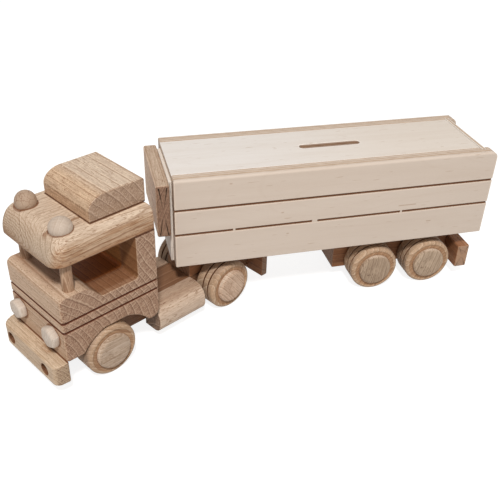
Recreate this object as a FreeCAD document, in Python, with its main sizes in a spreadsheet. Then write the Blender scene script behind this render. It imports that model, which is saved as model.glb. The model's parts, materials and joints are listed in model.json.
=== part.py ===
"""Wooden toy articulated lorry whose box trailer is a money box.

Two frames share one origin, the point on the ground under the kingpin, with +Z up.
In the trailer frame +X points forward and +Y to the left.  The tractor frame is the
same frame turned about the kingpin by the fold angle.  Lengths are in millimetres.
"""
import FreeCAD, Part
import os

import Sketcher

# name, value, what it is
SIZES = [
    ("fold_angle", 30.3, "turn of the tractor about the kingpin, in degrees"),
    ("running_clearance", 0.08, "radial gap of a turning dowel"),
    ("glue_clearance", 0.02, "radial gap of a glued dowel"),
    ("slide_clearance", 0.3, "gap on each side of a sliding board"),
    # wheels and axles
    ("axle_radius", 4.0, "radius of each axle dowel"),
    ("wheel_radius", 20.0, "radius over the tread"),
    ("wheel_width", 19.2, "width of a wheel"),
    ("wheel_gap", 2.3, "beam to the inner face of a grooved wheel"),
    ("steer_wheel_gap", 2.6, "beam to the inner face of a front wheel"),
    ("wheel_rounding", 3.0, "rounding of the outer tread edge"),
    ("wheel_inner_rounding", 1.0, "rounding of the inner tread edge"),
    ("recess_rim", 3.1, "width of the rim round the recess in the outer face"),
    ("recess_depth", 0.6, "depth of that recess"),
    ("recess_gap", 3.4, "gap round the hub disc in the recess"),
    ("hub_thickness", 3.5, "thickness of the hub disc"),
    ("hub_rounding", 2.0, "rounding of the hub disc's rim"),
    ("tread_groove_width", 1.4, "width of a tread groove"),
    ("tread_groove_depth", 1.5, "depth of a tread groove"),
    ("tread_groove_offset", 6.4, "outer face to the first tread groove"),
    ("tread_groove_pitch", 5.5, "first tread groove to the second"),
    # tractor chassis
    ("chassis_width", 27.0, "width of the beam between the wheels"),
    ("chassis_drop", 8.8, "underside of the beams below the axle line"),
    ("chassis_height", 17.4, "height of the tractor's beam"),
    ("steer_axle_setback", 34.6, "front face of the cab to the front axle"),
    ("drive_axle_place", 4.7, "kingpin to the driven axle"),
    ("coupling_length", 58.6, "length of the block the trailer rests on"),
    ("coupling_gap", 0.3, "gap between that block and the trailer"),
    ("kingpin_radius", 4.0, "radius of the kingpin"),
    ("kingpin_reach", 16.0, "length of kingpin inside the coupling block"),
    ("tank_wheel_gap", 4.5, "driven wheels to the fuel tanks"),
    ("tank_cab_gap", 1.1, "fuel tanks to the cab"),
    ("tank_width", 18.7, "width of a fuel tank beside the beam"),
    ("tank_rise", 1.0, "top of a fuel tank above the beam"),
    ("tank_height", 22.4, "height of a fuel tank"),
    ("tank_top_rounding", 11.0, "rounding of a tank's upper edge"),
    ("tank_bottom_rounding", 8.0, "rounding of a tank's lower edge"),
    ("tail_board_place", 34.0, "kingpin to the board across the tractor's tail"),
    ("tail_board_thickness", 6.0, "thickness of that board"),
    ("tail_board_width", 63.0, "width of that board"),
    ("tail_board_height", 20.0, "height of that board"),
    # cab, with heights taken from the top of the beam
    ("cab_rear", 75.1, "kingpin to the rear face of the cab"),
    ("cab_length", 77.1, "length of the cab"),
    ("cab_width", 66.8, "width of the cab"),
    ("cab_height", 72.6, "height of the cab's rear wall"),
    ("cab_wall", 16.0, "thickness of the cab's rear wall"),
    ("cab_floor_rise", 39.4, "height of the cab floor"),
    ("cab_tail_rounding", 6.0, "rounding of the lower rear edge"),
    ("cab_corner_chamfer", 1.6, "chamfer of the front corners"),
    ("dash_rise", 50.8, "height of the dashboard"),
    ("dash_depth", 21.2, "front face of the cab to the rear edge of the dashboard"),
    ("dash_slope", 10.5, "rear edge of the dashboard to its foot"),
    ("dash_front_rounding", 5.0, "rounding of the bonnet edge"),
    ("dash_rear_rounding", 8.0, "rounding of the dashboard's rear edge"),
    ("floor_rounding", 2.5, "rounding of the cab floor's corners"),
    ("arch_setback", 6.1, "front axle to the centre of the wheel arch behind it"),
    ("arch_drop", 11.0, "centre of the wheel arch below the axle"),
    ("arch_gap", 13.6, "radius of the wheel arch beyond the wheel's"),
    ("trim_groove_rise", 23.4, "height of the lower groove round the cab"),
    ("trim_groove_pitch", 8.0, "lower groove to the upper one"),
    ("trim_groove_width", 2.0, "width of each groove"),
    ("trim_groove_depth", 1.3, "depth of each groove"),
    # cab roof and what stands on it
    ("roof_thickness", 19.2, "thickness of the roof"),
    ("roof_overhang", 0.1, "roof beyond the side of the cab"),
    ("roof_corner_rounding", 10.0, "rounding of the front corners in plan"),
    ("roof_edge_rounding", 9.0, "rounding of the upper front and side edges"),
    ("roof_tail_rounding", 4.0, "rounding of the upper rear edge"),
    ("deflector_inset", 1.4, "rear of the wind deflector in front of the cab's rear"),
    ("deflector_length", 43.4, "length of the wind deflector"),
    ("deflector_side_inset", 6.9, "side of the wind deflector inside the roof's side"),
    ("deflector_height", 17.3, "height of the wind deflector"),
    ("deflector_lip", 11.5, "upright part of its front"),
    ("deflector_slope", 8.2, "length of its sloping front"),
    ("deflector_rounding", 15.0, "rounding of the top of that slope"),
    ("deflector_lip_rounding", 7.5, "rounding of the foot of that slope"),
    ("deflector_tail_rounding", 1.5, "rounding of its upper rear edge"),
    ("roof_light_setback", 15.6, "front face of the cab to the roof lights"),
    ("roof_light_inset", 12.6, "roof light inside the roof's side"),
    ("roof_light_offset", 1.1, "how far the roof lights sit to the right of the middle"),
    ("roof_light_radius", 7.75, "radius of a roof light"),
    ("roof_light_rise", 1.5, "centre of a roof light above the roof"),
    ("roof_light_seat", 3.0, "depth of its seat in the roof"),
    ("pillar_setback", 11.7, "front face of the cab to the windscreen pillars"),
    ("pillar_inset", 7.4, "pillar inside the side of the cab"),
    ("pillar_radius", 4.0, "radius of a pillar"),
    ("pillar_socket", 6.0, "depth of a pillar in the dashboard and in the roof"),
    # front of the cab
    ("headlight_rise", 14.7, "height of the headlights above the beam"),
    ("headlight_inset", 12.7, "headlight inside the side of the cab"),
    ("headlight_offset", 1.9, "how far the headlights sit to the right of the middle"),
    ("headlight_radius", 8.2, "radius of a headlight"),
    ("headlight_depth", 5.8, "length of a headlight in front of the cab"),
    ("headlight_rounding", 3.0, "rounding of its front edge"),
    ("headlight_stem_radius", 4.0, "radius of the stem behind it"),
    ("headlight_stem_length", 8.0, "length of that stem"),
    ("bumper_length", 71.6, "length of the bumper"),
    ("bumper_depth", 10.6, "thickness of the bumper"),
    ("bumper_offset", 1.5, "how far the bumper sits to the right of the middle"),
    ("bumper_rounding", 5.0, "rounding of its upright front corner on the left"),
    ("bumper_far_rounding", 9.0, "rounding of its upright front corner on the right"),
    ("bumper_edge_rounding", 1.5, "rounding of its upper and lower front edges"),
    ("fog_lamp_inset", 13.8, "fog lamp hole inside the end of the bumper"),
    ("fog_lamp_offset", 1.0, "how far those holes sit to the right of the bumper's middle"),
    ("fog_lamp_radius", 4.2, "radius of a fog lamp hole"),
    ("fog_lamp_depth", 6.0, "depth of a fog lamp hole"),
    # trailer box
    ("wheel_headroom", 7.7, "wheels to the underside of the box"),
    ("box_front", 30.4, "kingpin to the front of the box"),
    ("box_length", 254.9, "length of the side panels"),
    ("box_width", 76.8, "width over the side panels"),
    ("box_height", 72.6, "height of the box"),
    ("panel_thickness", 10.0, "thickness of a side panel"),
    ("panel_front_rounding", 1.4, "rounding of a panel's upper front corner"),
    ("panel_rear_rounding", 5.5, "rounding of a panel's upper rear corner"),
    ("panel_edge_rounding", 2.0, "rounding of a panel's outer edge"),
    ("plank_groove_rise", 27.9, "underside of the box to the lower plank groove"),
    ("plank_groove_pitch", 20.6, "lower plank groove to the upper one"),
    ("plank_groove_width", 1.8, "width of a plank groove"),
    ("plank_groove_depth", 1.4, "depth of a plank groove"),
    ("bridge_first", 44.4, "front of a panel to the first uncut bridge"),
    ("bridge_second", 107.7, "front of a panel to the second bridge"),
    ("bridge_third", 179.4, "front of a panel to the third bridge"),
    ("bridge_first_width", 1.6, "width of the first bridge"),
    ("bridge_second_width", 4.0, "width of the second bridge"),
    ("bridge_third_width", 1.4, "width of the third bridge"),
    ("lid_thickness", 5.0, "thickness of the lid"),
    ("floor_thickness", 8.0, "thickness of the trailer floor"),
    ("front_panel_thickness", 8.0, "thickness of the front panel"),
    ("front_panel_step", 2.2, "front panel in front of the lid and the side panels"),
    ("slot_setback", 1.65, "middle of the coin slot behind the middle of the box"),
    ("slot_length", 49.6, "length of the coin slot"),
    ("slot_width", 6.6, "width of the coin slot"),
    ("tailgate_thickness", 3.6, "thickness of the sliding tailgate"),
    ("tailgate_cheek", 6.8, "length of panel behind the tailgate's groove"),
    ("tailgate_groove_depth", 3.2, "depth of the groove it slides in"),
    ("tailgate_sill", 2.4, "height of the groove's closed end above the box's underside"),
    ("headboard_thickness", 10.0, "thickness of the block on the front of the box"),
    ("headboard_inset", 3.4, "side of that block inside the box's side"),
    ("headboard_rise", 25.8, "underside of the box to its lower edge"),
    ("headboard_drop", 4.5, "its upper edge below the top of the box"),
    ("headboard_rounding", 1.6, "rounding of its edges"),
    # trailer running gear
    ("axle_overhang", 40.6, "last axle to the rear of the box"),
    ("axle_wheel_gap", 8.4, "gap between the wheels of the two trailer axles"),
    ("bogie_front_gap", 9.3, "first trailer wheels to the front of the bogie block"),
    ("bogie_rear_gap", 6.7, "last trailer wheels to the rear of the bogie block"),
    ("rear_beam_depth", 10.4, "thickness of the beam across the tail"),
    ("rear_beam_length", 69.0, "length of that beam"),
    ("rear_beam_height", 20.8, "height of that beam"),
    ("rear_beam_drop", 9.0, "its underside below the axle line"),
    ("rear_beam_rounding", 0.8, "rounding of its edges"),
]

SHEET = "Sizes"
LEFT = 1
RIGHT = -1
SIDE_NAMES = {LEFT: "left", RIGHT: "right"}
ALONG_X = FreeCAD.Rotation(FreeCAD.Vector(0, 1, 0), 90)
ALONG_Y = FreeCAD.Rotation(FreeCAD.Vector(1, 0, 0), -90)
ALONG_Z = FreeCAD.Rotation()
HALF_TURN = FreeCAD.Rotation(FreeCAD.Vector(0, 0, 1), 180)
NEAR = 0.001


class Size:
    """A length that knows both its value and the sheet formula it came from."""

    def __init__(self, value, formula):
        self.value = value
        self.formula = formula

    def combine(self, other, sign, value):
        other = as_size(other)
        return Size(value, "(%s %s %s)" % (self.formula, sign, other.formula))

    def __add__(self, other):
        return self.combine(other, "+", self.value + as_size(other).value)

    def __sub__(self, other):
        return self.combine(other, "-", self.value - as_size(other).value)

    def __mul__(self, other):
        return self.combine(other, "*", self.value * as_size(other).value)

    def __truediv__(self, other):
        return self.combine(other, "/", self.value / as_size(other).value)

    def __neg__(self):
        return Size(-self.value, "(0 - %s)" % self.formula)


def as_size(number):
    if isinstance(number, Size):
        return number
    return Size(float(number), "(%r)" % float(number))


class Sizes:
    """The driving dimensions, read from the sheet by name."""

    def __init__(self, document, table):
        sheet = document.addObject("Spreadsheet::Sheet", SHEET)
        for row, (name, value, meaning) in enumerate(table, start=1):
            sheet.set("A%d" % row, meaning)
            sheet.set("B%d" % row, str(value))
            sheet.setAlias("B%d" % row, name)
        document.recompute()
        for name, value, meaning in table:
            setattr(self, name, Size(float(sheet.get(name)), "%s.%s" % (SHEET, name)))


document = FreeCAD.newDocument("toy_lorry")
size = Sizes(document, SIZES)

# Levels and places that follow from the sizes, still tied to the sheet
beam_low = size.wheel_radius - size.chassis_drop
beam_top = beam_low + size.chassis_height
cab_front = size.cab_rear + size.cab_length
steer_axle_place = cab_front - size.steer_axle_setback
roof_base = beam_top + size.cab_height
roof_top = roof_base + size.roof_thickness
dash_top = beam_top + size.dash_rise
roof_width = size.cab_width + size.roof_overhang * 2
box_low = size.wheel_radius * 2 + size.wheel_headroom
box_top = box_low + size.box_height
box_rear = size.box_front - size.box_length
box_inner = size.box_width / 2 - size.panel_thickness
lid_low = box_top - size.lid_thickness
second_axle_place = box_rear + size.axle_overhang
first_axle_place = second_axle_place + size.wheel_radius * 2 + size.axle_wheel_gap
bogie_rear = second_axle_place - size.wheel_radius - size.bogie_rear_gap
wheel_face = size.chassis_width / 2 + size.wheel_gap + size.wheel_width
steer_wheel_face = size.chassis_width / 2 + size.steer_wheel_gap + size.wheel_width
recess_radius = size.wheel_radius - size.recess_rim


# Building blocks

def bind(feature, property_name, length):
    """Set a property and tie it to the sheet."""
    feature.setExpression(property_name, as_size(length).formula)


def put(feature, corner, turn=ALONG_Z):
    """Place a primitive inside its body, tied to the sheet."""
    values = [as_size(part).value for part in corner]
    feature.Placement = FreeCAD.Placement(FreeCAD.Vector(*values), turn)
    for letter, part in zip("xyz", corner):
        bind(feature, "Placement.Base.%s" % letter, part)


def new_body(name):
    body = document.addObject("PartDesign::Body", name)
    body.Label = name
    return body


def new_feature(body, kind, suffix):
    return body.newObject("PartDesign::" + kind, "%s_%s" % (body.Name, suffix))


def finish(body, cuts=False):
    """Recompute, and make sure that a cut took something away."""
    before = body.Shape.Volume if cuts else 0.0
    document.recompute()
    if cuts and not body.Shape.Volume < before - NEAR:
        raise ValueError("%s: a cut missed the solid" % body.Name)


def box(body, corner, extent, kind="Additive"):
    """A board from its low corner; kind Subtractive cuts it out instead."""
    feature = new_feature(body, kind + "Box", "block")
    for property_name, length in zip(("Length", "Width", "Height"), extent):
        bind(feature, property_name, length)
    put(feature, corner)
    finish(body, kind == "Subtractive")


def cylinder(body, start, turn, radius, length, kind="Additive"):
    """A dowel from its start point along the turned Z axis; Subtractive drills it."""
    feature = new_feature(body, kind + "Cylinder", "round")
    bind(feature, "Radius", radius)
    bind(feature, "Height", length)
    put(feature, start, turn)
    finish(body, kind == "Subtractive")


def drill(body, start, turn, radius, length):
    """A hole, which runs past the surface so that no skin is left over it."""
    cylinder(body, start, turn, radius, length, kind="Subtractive")


def outline(body, plane, polygons):
    """A sketch on one of the body's own planes, each corner tied to the sheet."""
    sketch = body.newObject("Sketcher::SketchObject", body.Name + "_outline")
    support = [item for item in body.Origin.OriginFeatures if item.Role == plane][0]
    sketch.AttachmentSupport = [(support, "")]
    sketch.MapMode = "FlatFace"
    for polygon in polygons:
        corners = [(as_size(across), as_size(up)) for across, up in polygon]
        draw_polygon(sketch, corners)
    document.recompute()
    return sketch


def draw_polygon(sketch, corners):
    first = sketch.GeometryCount
    count = len(corners)
    points = [FreeCAD.Vector(across.value, up.value, 0) for across, up in corners]
    for index in range(count):
        sketch.addGeometry(Part.LineSegment(points[index], points[(index + 1) % count]), False)
    for index in range(count):
        following = first + (index + 1) % count
        sketch.addConstraint(Sketcher.Constraint("Coincident", first + index, 2, following, 1))
    for index, corner in enumerate(corners):
        for direction, length in zip(("DistanceX", "DistanceY"), corner):
            rule = Sketcher.Constraint(direction, -1, 1, first + index, 1, length.value)
            number = sketch.addConstraint(rule)
            sketch.setExpression("Constraints[%d]" % number, length.formula)


def pad(body, sketch, length):
    """Thicken a sketch by half the length to each side of its plane."""
    feature = new_feature(body, "Pad", "pad")
    feature.Profile = sketch
    feature.SideType = "Symmetric"
    bind(feature, "Length", length)
    finish(body)


def cut_through(body, sketch):
    """Cut a sketch all the way through the body, to both sides of its plane."""
    feature = new_feature(body, "Pocket", "cut")
    feature.Profile = sketch
    feature.SideType = "Symmetric"
    feature.Type = "ThroughAll"
    finish(body, cuts=True)


def spin(body, sketch):
    """Turn a sketch about its own upright axis."""
    feature = new_feature(body, "Revolution", "turned")
    feature.Profile = sketch
    feature.ReferenceAxis = (sketch, ["V_Axis"])
    feature.Angle = 360
    finish(body)


def soften(body, kind, length, chosen):
    """Fillet or chamfer every edge of the body that the chosen test accepts."""
    base = body.Tip
    edges = enumerate(base.Shape.Edges, start=1)
    names = ["Edge%d" % number for number, edge in edges if chosen(edge)]
    if not names:
        raise ValueError("%s: no edge to soften" % body.Name)
    feature = new_feature(body, kind, "edge")
    feature.Base = (base, names)
    bind(feature, "Radius" if kind == "Fillet" else "Size", length)
    finish(body)


def fillet(body, length, letter, **places):
    """Round the edges that run along one axis at the given places."""
    soften(body, "Fillet", length, lambda edge: crosses(edge, letter, **places))


def runs_along(edge, letter):
    """True for an edge that lies along one axis."""
    extent = edge.BoundBox
    spans = {"x": extent.XLength, "y": extent.YLength, "z": extent.ZLength}
    along = spans.pop(letter)
    return along > NEAR and max(spans.values()) < NEAR


def crosses(edge, letter, **places):
    """True for an edge along one axis whose middle has the given x, y or z."""
    middle = edge.BoundBox.Center
    near = [abs(getattr(middle, name) - place.value) < NEAR for name, place in places.items()]
    return runs_along(edge, letter) and all(near)


# Pieces of the tractor, in the tractor frame

def cab_block():
    """Bonnet, dashboard, cab floor and rear wall in one block."""
    body = new_body("cab_block")
    wall_front = size.cab_rear + size.cab_wall
    cab_floor = beam_top + size.cab_floor_rise
    dash_rear = cab_front - size.dash_depth
    side_view = [
        (size.cab_rear, beam_top),
        (cab_front, beam_top),
        (cab_front, dash_top),
        (dash_rear, dash_top),
        (dash_rear - size.dash_slope, cab_floor),
        (wall_front, cab_floor),
        (wall_front, roof_base),
        (size.cab_rear, roof_base),
    ]
    pad(body, outline(body, "XZ_Plane", [side_view]), size.cab_width)
    soften(body, "Chamfer", size.cab_corner_chamfer, lambda edge: crosses(edge, "z", x=cab_front))
    fillet(body, size.dash_front_rounding, "y", x=cab_front, z=dash_top)
    fillet(body, size.dash_rear_rounding, "y", x=dash_rear, z=dash_top)
    fillet(body, size.floor_rounding, "y", z=cab_floor)
    fillet(body, size.cab_tail_rounding, "y", x=size.cab_rear, z=beam_top)
    arch_start = (steer_axle_place - size.arch_setback, -size.cab_width,
                  size.wheel_radius - size.arch_drop)
    drill(body, arch_start, ALONG_Y, size.wheel_radius + size.arch_gap, size.cab_width * 2)
    cut_through(body, outline(body, "XZ_Plane", front_grooves()))
    cut_through(body, outline(body, "YZ_Plane", side_grooves()))
    for side in (LEFT, RIGHT):
        drill(body, pillar_foot(side), ALONG_Z, size.pillar_radius + size.glue_clearance,
              size.pillar_socket * 2)
        drill(body, headlight_stem(side), ALONG_X, size.headlight_stem_radius + size.glue_clearance,
              size.headlight_stem_length * 2)
    return body


def trim_levels():
    lower = beam_top + size.trim_groove_rise
    return (lower, lower + size.trim_groove_pitch)


def front_grooves():
    """V grooves across the front of the cab, as seen from the side."""
    half_mouth = size.trim_groove_width / 2
    return [[
        (cab_front, level - half_mouth),
        (cab_front - size.trim_groove_depth, level),
        (cab_front, level + half_mouth),
    ] for level in trim_levels()]


def side_grooves():
    """V grooves along both sides of the cab, as seen from the front."""
    half_mouth = size.trim_groove_width / 2
    face = size.cab_width / 2
    return [[
        (face * side, level - half_mouth),
        ((face - size.trim_groove_depth) * side, level),
        (face * side, level + half_mouth),
    ] for level in trim_levels() for side in (LEFT, RIGHT)]


def pillar_foot(side):
    middle = size.cab_width / 2 - size.pillar_inset
    return (cab_front - size.pillar_setback, middle * side, dash_top - size.pillar_socket)


def headlight_stem(side):
    middle = (size.cab_width / 2 - size.headlight_inset) * side - size.headlight_offset
    return (cab_front - size.headlight_stem_length, middle, beam_top + size.headlight_rise)


def roof_light_seat(side):
    middle = (roof_width / 2 - size.roof_light_inset) * side - size.roof_light_offset
    return (cab_front - size.roof_light_setback, middle, roof_top - size.roof_light_seat)


def cab_roof():
    """Thick roof board with a rounded nose, sides and tail."""
    body = new_body("cab_roof")
    box(body, (size.cab_rear, -roof_width / 2, roof_base),
        (size.cab_length, roof_width, size.roof_thickness))
    fillet(body, size.roof_corner_rounding, "z", x=cab_front)
    fillet(body, size.roof_tail_rounding, "y", x=size.cab_rear, z=roof_top)
    fillet(body, size.roof_edge_rounding, "x", z=roof_top)
    for side in (LEFT, RIGHT):
        drill(body, roof_light_seat(side), ALONG_Z, size.roof_light_radius + size.glue_clearance,
              size.roof_light_seat * 2)
        socket_start = pillar_foot(side)[:2] + (roof_base - size.pillar_socket,)
        drill(body, socket_start, ALONG_Z, size.pillar_radius + size.glue_clearance,
              size.pillar_socket * 2)
    return body


def wind_deflector():
    """Block on the roof with a sloping front."""
    body = new_body("wind_deflector")
    top = roof_top + size.deflector_height
    rear = size.cab_rear + size.deflector_inset
    front = rear + size.deflector_length
    side_view = [
        (rear, roof_top),
        (front, roof_top),
        (front, roof_top + size.deflector_lip),
        (front - size.deflector_slope, top),
        (rear, top),
    ]
    pad(body, outline(body, "XZ_Plane", [side_view]), roof_width - size.deflector_side_inset * 2)
    fillet(body, size.deflector_lip_rounding, "y", x=front, z=roof_top + size.deflector_lip)
    fillet(body, size.deflector_rounding, "y", x=front - size.deflector_slope, z=top)
    fillet(body, size.deflector_tail_rounding, "y", x=rear, z=top)
    return body


def roof_light(side):
    """Ball with a flat base, standing in its seat in the roof."""
    body = new_body("roof_light_%s" % SIDE_NAMES[side])
    place, middle, seat_level = roof_light_seat(side)
    ball = new_feature(body, "AdditiveSphere", "ball")
    bind(ball, "Radius", size.roof_light_radius)
    put(ball, (place, middle, roof_top + size.roof_light_rise))
    finish(body)
    width = size.roof_light_radius * 2
    box(body, (place - size.roof_light_radius, middle - size.roof_light_radius, seat_level - width),
        (width, width, width), kind="Subtractive")
    return body


def windscreen_pillar(side):
    """Dowel between the dashboard and the roof."""
    body = new_body("windscreen_pillar_%s" % SIDE_NAMES[side])
    length = roof_base - dash_top + size.pillar_socket * 2
    cylinder(body, pillar_foot(side), ALONG_Z, size.pillar_radius, length)
    return body


def headlight(side):
    """Rounded plug with a stem in the front of the cab."""
    body = new_body("headlight_%s" % SIDE_NAMES[side])
    stem_start = headlight_stem(side)
    cylinder(body, (cab_front,) + stem_start[1:], ALONG_X, size.headlight_radius, size.headlight_depth)
    front = cab_front + size.headlight_depth
    soften(body, "Fillet", size.headlight_rounding, lambda edge: edge.BoundBox.XMin > front.value - NEAR)
    cylinder(body, stem_start, ALONG_X, size.headlight_stem_radius, size.headlight_stem_length)
    return body


def front_bumper():
    """Bar across the front with two blind fog lamp holes."""
    body = new_body("front_bumper")
    front = cab_front + size.bumper_depth
    box(body, (cab_front, -size.bumper_length / 2 - size.bumper_offset, beam_low),
        (size.bumper_depth, size.bumper_length, size.chassis_height))
    fillet(body, size.bumper_rounding, "z", x=front, y=size.bumper_length / 2 - size.bumper_offset)
    fillet(body, size.bumper_far_rounding, "z", x=front, y=-size.bumper_length / 2 - size.bumper_offset)
    fillet(body, size.bumper_edge_rounding, "y", x=front)
    for side in (LEFT, RIGHT):
        middle = (size.bumper_length / 2 - size.fog_lamp_inset) * side
        place = middle - size.bumper_offset - size.fog_lamp_offset
        start = (front - size.fog_lamp_depth, place, (beam_low + beam_top) / 2)
        drill(body, start, ALONG_X, size.fog_lamp_radius, size.fog_lamp_depth * 2)
    return body


def chassis_beam():
    """Beam from the bumper to the tail board, drilled for both axles."""
    body = new_body("chassis_beam")
    box(body, (-size.tail_board_place, -size.chassis_width / 2, beam_low),
        (size.tail_board_place + cab_front, size.chassis_width, size.chassis_height))
    for place in (steer_axle_place, size.drive_axle_place):
        drill_for_axle(body, place)
    return body


def drill_for_axle(body, place):
    drill(body, (place, -size.chassis_width, size.wheel_radius), ALONG_Y,
          size.axle_radius + size.running_clearance, size.chassis_width * 2)


def fuel_tank(side):
    """Round-edged block on the side of the chassis beam."""
    body = new_body("fuel_tank_%s" % SIDE_NAMES[side])
    rear = size.drive_axle_place + size.wheel_radius + size.tank_wheel_gap
    length = size.cab_rear - size.tank_cab_gap - rear
    inner = size.chassis_width / 2
    outside = inner + size.tank_width
    top = beam_top + size.tank_rise
    low = top - size.tank_height
    low_side = inner if side == LEFT else -outside
    box(body, (rear, low_side, low), (length, size.tank_width, size.tank_height))
    fillet(body, size.tank_top_rounding, "x", y=outside * side, z=top)
    fillet(body, size.tank_bottom_rounding, "x", y=outside * side, z=low)
    return body


def coupling_block():
    """Block on the chassis beam that carries the trailer and takes the kingpin."""
    body = new_body("coupling_block")
    height = box_low - size.coupling_gap - beam_top
    box(body, (-size.coupling_length / 2, -size.chassis_width / 2, beam_top),
        (size.coupling_length, size.chassis_width, height))
    drill(body, (0, 0, beam_top), ALONG_Z, size.kingpin_radius + size.running_clearance, height * 2)
    return body


def tail_board():
    """Thin board across the end of the chassis beam."""
    body = new_body("tail_board")
    box(body, (-size.tail_board_place - size.tail_board_thickness, -size.tail_board_width / 2,
               beam_top - size.tail_board_height),
        (size.tail_board_thickness, size.tail_board_width, size.tail_board_height))
    return body


# Wheels and axles, each in a frame of its own with the axle along Y

def wheel(name, grooved):
    """Turned wheel with its outer face at y = 0 and a recess for the hub disc."""
    body = new_body(name)
    bore = size.axle_radius + size.glue_clearance
    rim = size.wheel_radius
    profile = [(bore, -size.wheel_width), (rim, -size.wheel_width)]
    if grooved:
        half_mouth = size.tread_groove_width / 2
        for step in (1, 0):
            level = -size.tread_groove_offset - size.tread_groove_pitch * step
            profile.append((rim, level - half_mouth))
            profile.append((rim - size.tread_groove_depth, level))
            profile.append((rim, level + half_mouth))
    profile.append((rim, 0))
    profile.append((recess_radius, 0))
    profile.append((recess_radius, -size.recess_depth))
    profile.append((bore, -size.recess_depth))
    spin(body, outline(body, "XY_Plane", [profile]))
    soften(body, "Fillet", size.wheel_inner_rounding, lambda edge: rings(edge, rim, -size.wheel_width))
    soften(body, "Fillet", size.wheel_rounding, lambda edge: rings(edge, rim, as_size(0)))
    return body


def rings(edge, radius, level):
    """True for a circle about the axle with the given radius and y."""
    extent = edge.BoundBox
    at_level = abs(extent.YMin - level.value) < NEAR and extent.YLength < NEAR
    return at_level and abs(extent.XLength / 2 - radius.value) < 0.01


def hub_disc(name):
    """Disc that stands in the recess of a wheel and out past its face."""
    body = new_body(name)
    cylinder(body, (0, -size.recess_depth, 0), ALONG_Y, recess_radius - size.recess_gap,
             size.hub_thickness)
    front = size.hub_thickness - size.recess_depth
    soften(body, "Fillet", size.hub_rounding, lambda edge: edge.BoundBox.YMin > front.value - NEAR)
    return body


def axle(name, face):
    """Dowel that ends at the bottom of both recesses."""
    body = new_body(name)
    half_length = face - size.recess_depth
    cylinder(body, (0, -half_length, 0), ALONG_Y, size.axle_radius, half_length * 2)
    return body


# Pieces of the trailer, in the trailer frame

def side_panel(side):
    """Plywood side with two plank grooves and a groove for the tailgate."""
    body = new_body("side_panel_%s" % SIDE_NAMES[side])
    outside = size.box_width / 2
    low_side = box_inner if side == LEFT else -outside
    box(body, (box_rear, low_side, box_low), (size.box_length, size.panel_thickness, size.box_height))
    fillet(body, size.panel_front_rounding, "y", x=size.box_front, z=box_top)
    fillet(body, size.panel_rear_rounding, "y", x=box_rear, z=box_top)
    fillet(body, size.panel_edge_rounding, "x", y=outside * side, z=box_top)
    plank_floor = outside * side - size.plank_groove_depth
    for front, back, level in plank_grooves():
        box(body, (size.box_front - back, plank_floor, level - size.plank_groove_width / 2),
            (back - front, size.plank_groove_depth * 2, size.plank_groove_width), kind="Subtractive")
    slide_floor = box_inner * side - size.tailgate_groove_depth
    box(body, (box_rear + size.tailgate_cheek, slide_floor, box_low + size.tailgate_sill),
        (tailgate_groove_width(), size.tailgate_groove_depth * 2, size.box_height), kind="Subtractive")
    return body


def plank_grooves():
    """Start, end and height of each groove, measured back from the front of a panel."""
    lower = box_low + size.plank_groove_rise
    cuts = [(as_size(0), size.box_length, lower + size.plank_groove_pitch)]
    start = as_size(0)
    bridges = ((size.bridge_first, size.bridge_first_width), (size.bridge_second, size.bridge_second_width),
               (size.bridge_third, size.bridge_third_width))
    for middle, width in bridges:
        cuts.append((start, middle - width / 2, lower))
        start = middle + width / 2
    cuts.append((start, size.box_length, lower))
    return cuts


def tailgate_groove_width():
    return size.tailgate_thickness + size.slide_clearance * 2


def between_panels(body, rear, front, low, high):
    box(body, (rear, -box_inner, low), (front - rear, box_inner * 2, high - low))


def inner_rear():
    """Where the lid and the floor end, in front of the tailgate's groove."""
    return box_rear + size.tailgate_cheek + tailgate_groove_width()


def lid():
    """Fixed plywood lid with a round-ended coin slot."""
    body = new_body("lid")
    between_panels(body, inner_rear(), size.box_front, lid_low, box_top)
    middle = (size.box_front + box_rear) / 2 - size.slot_setback
    straight = size.slot_length - size.slot_width
    slot_rear = middle - straight / 2
    below = lid_low - size.lid_thickness
    box(body, (slot_rear, -size.slot_width / 2, below),
        (straight, size.slot_width, size.lid_thickness * 3), kind="Subtractive")
    for centre in (slot_rear, slot_rear + straight):
        drill(body, (centre, 0, below), ALONG_Z, size.slot_width / 2, size.lid_thickness * 3)
    return body


def front_panel_rear():
    return size.box_front + size.front_panel_step - size.front_panel_thickness


def front_panel():
    """Plywood front of the box, under the lid and a step in front of it."""
    body = new_body("front_panel")
    between_panels(body, front_panel_rear(), size.box_front + size.front_panel_step, box_low, lid_low)
    return body


def trailer_floor():
    """Floor of the box, drilled for the kingpin."""
    body = new_body("trailer_floor")
    between_panels(body, inner_rear(), front_panel_rear(), box_low, box_low + size.floor_thickness)
    drill(body, (0, 0, box_low - size.floor_thickness), ALONG_Z,
          size.kingpin_radius + size.glue_clearance, size.floor_thickness * 3)
    return body


def tailgate():
    """Board that slides up out of the grooves in the side panels."""
    body = new_body("tailgate")
    rear = box_rear + size.tailgate_cheek + size.slide_clearance
    width = (box_inner + size.tailgate_groove_depth - size.slide_clearance) * 2
    low = box_low + size.tailgate_sill + size.slide_clearance
    box(body, (rear, -width / 2, low), (size.tailgate_thickness, width, box_top - low))
    return body


def headboard():
    """Block on the front of the box with softened edges."""
    body = new_body("headboard")
    rear = size.box_front + size.front_panel_step
    width = size.box_width - size.headboard_inset * 2
    low = box_low + size.headboard_rise
    box(body, (rear, -width / 2, low),
        (size.headboard_thickness, width, box_top - size.headboard_drop - low))
    soften(body, "Fillet", size.headboard_rounding, lambda edge: True)
    return body


def kingpin():
    """Dowel glued into the trailer floor and loose in the coupling block."""
    body = new_body("kingpin")
    cylinder(body, (0, 0, box_low - size.kingpin_reach), ALONG_Z, size.kingpin_radius,
             size.kingpin_reach + size.floor_thickness)
    return body


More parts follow.
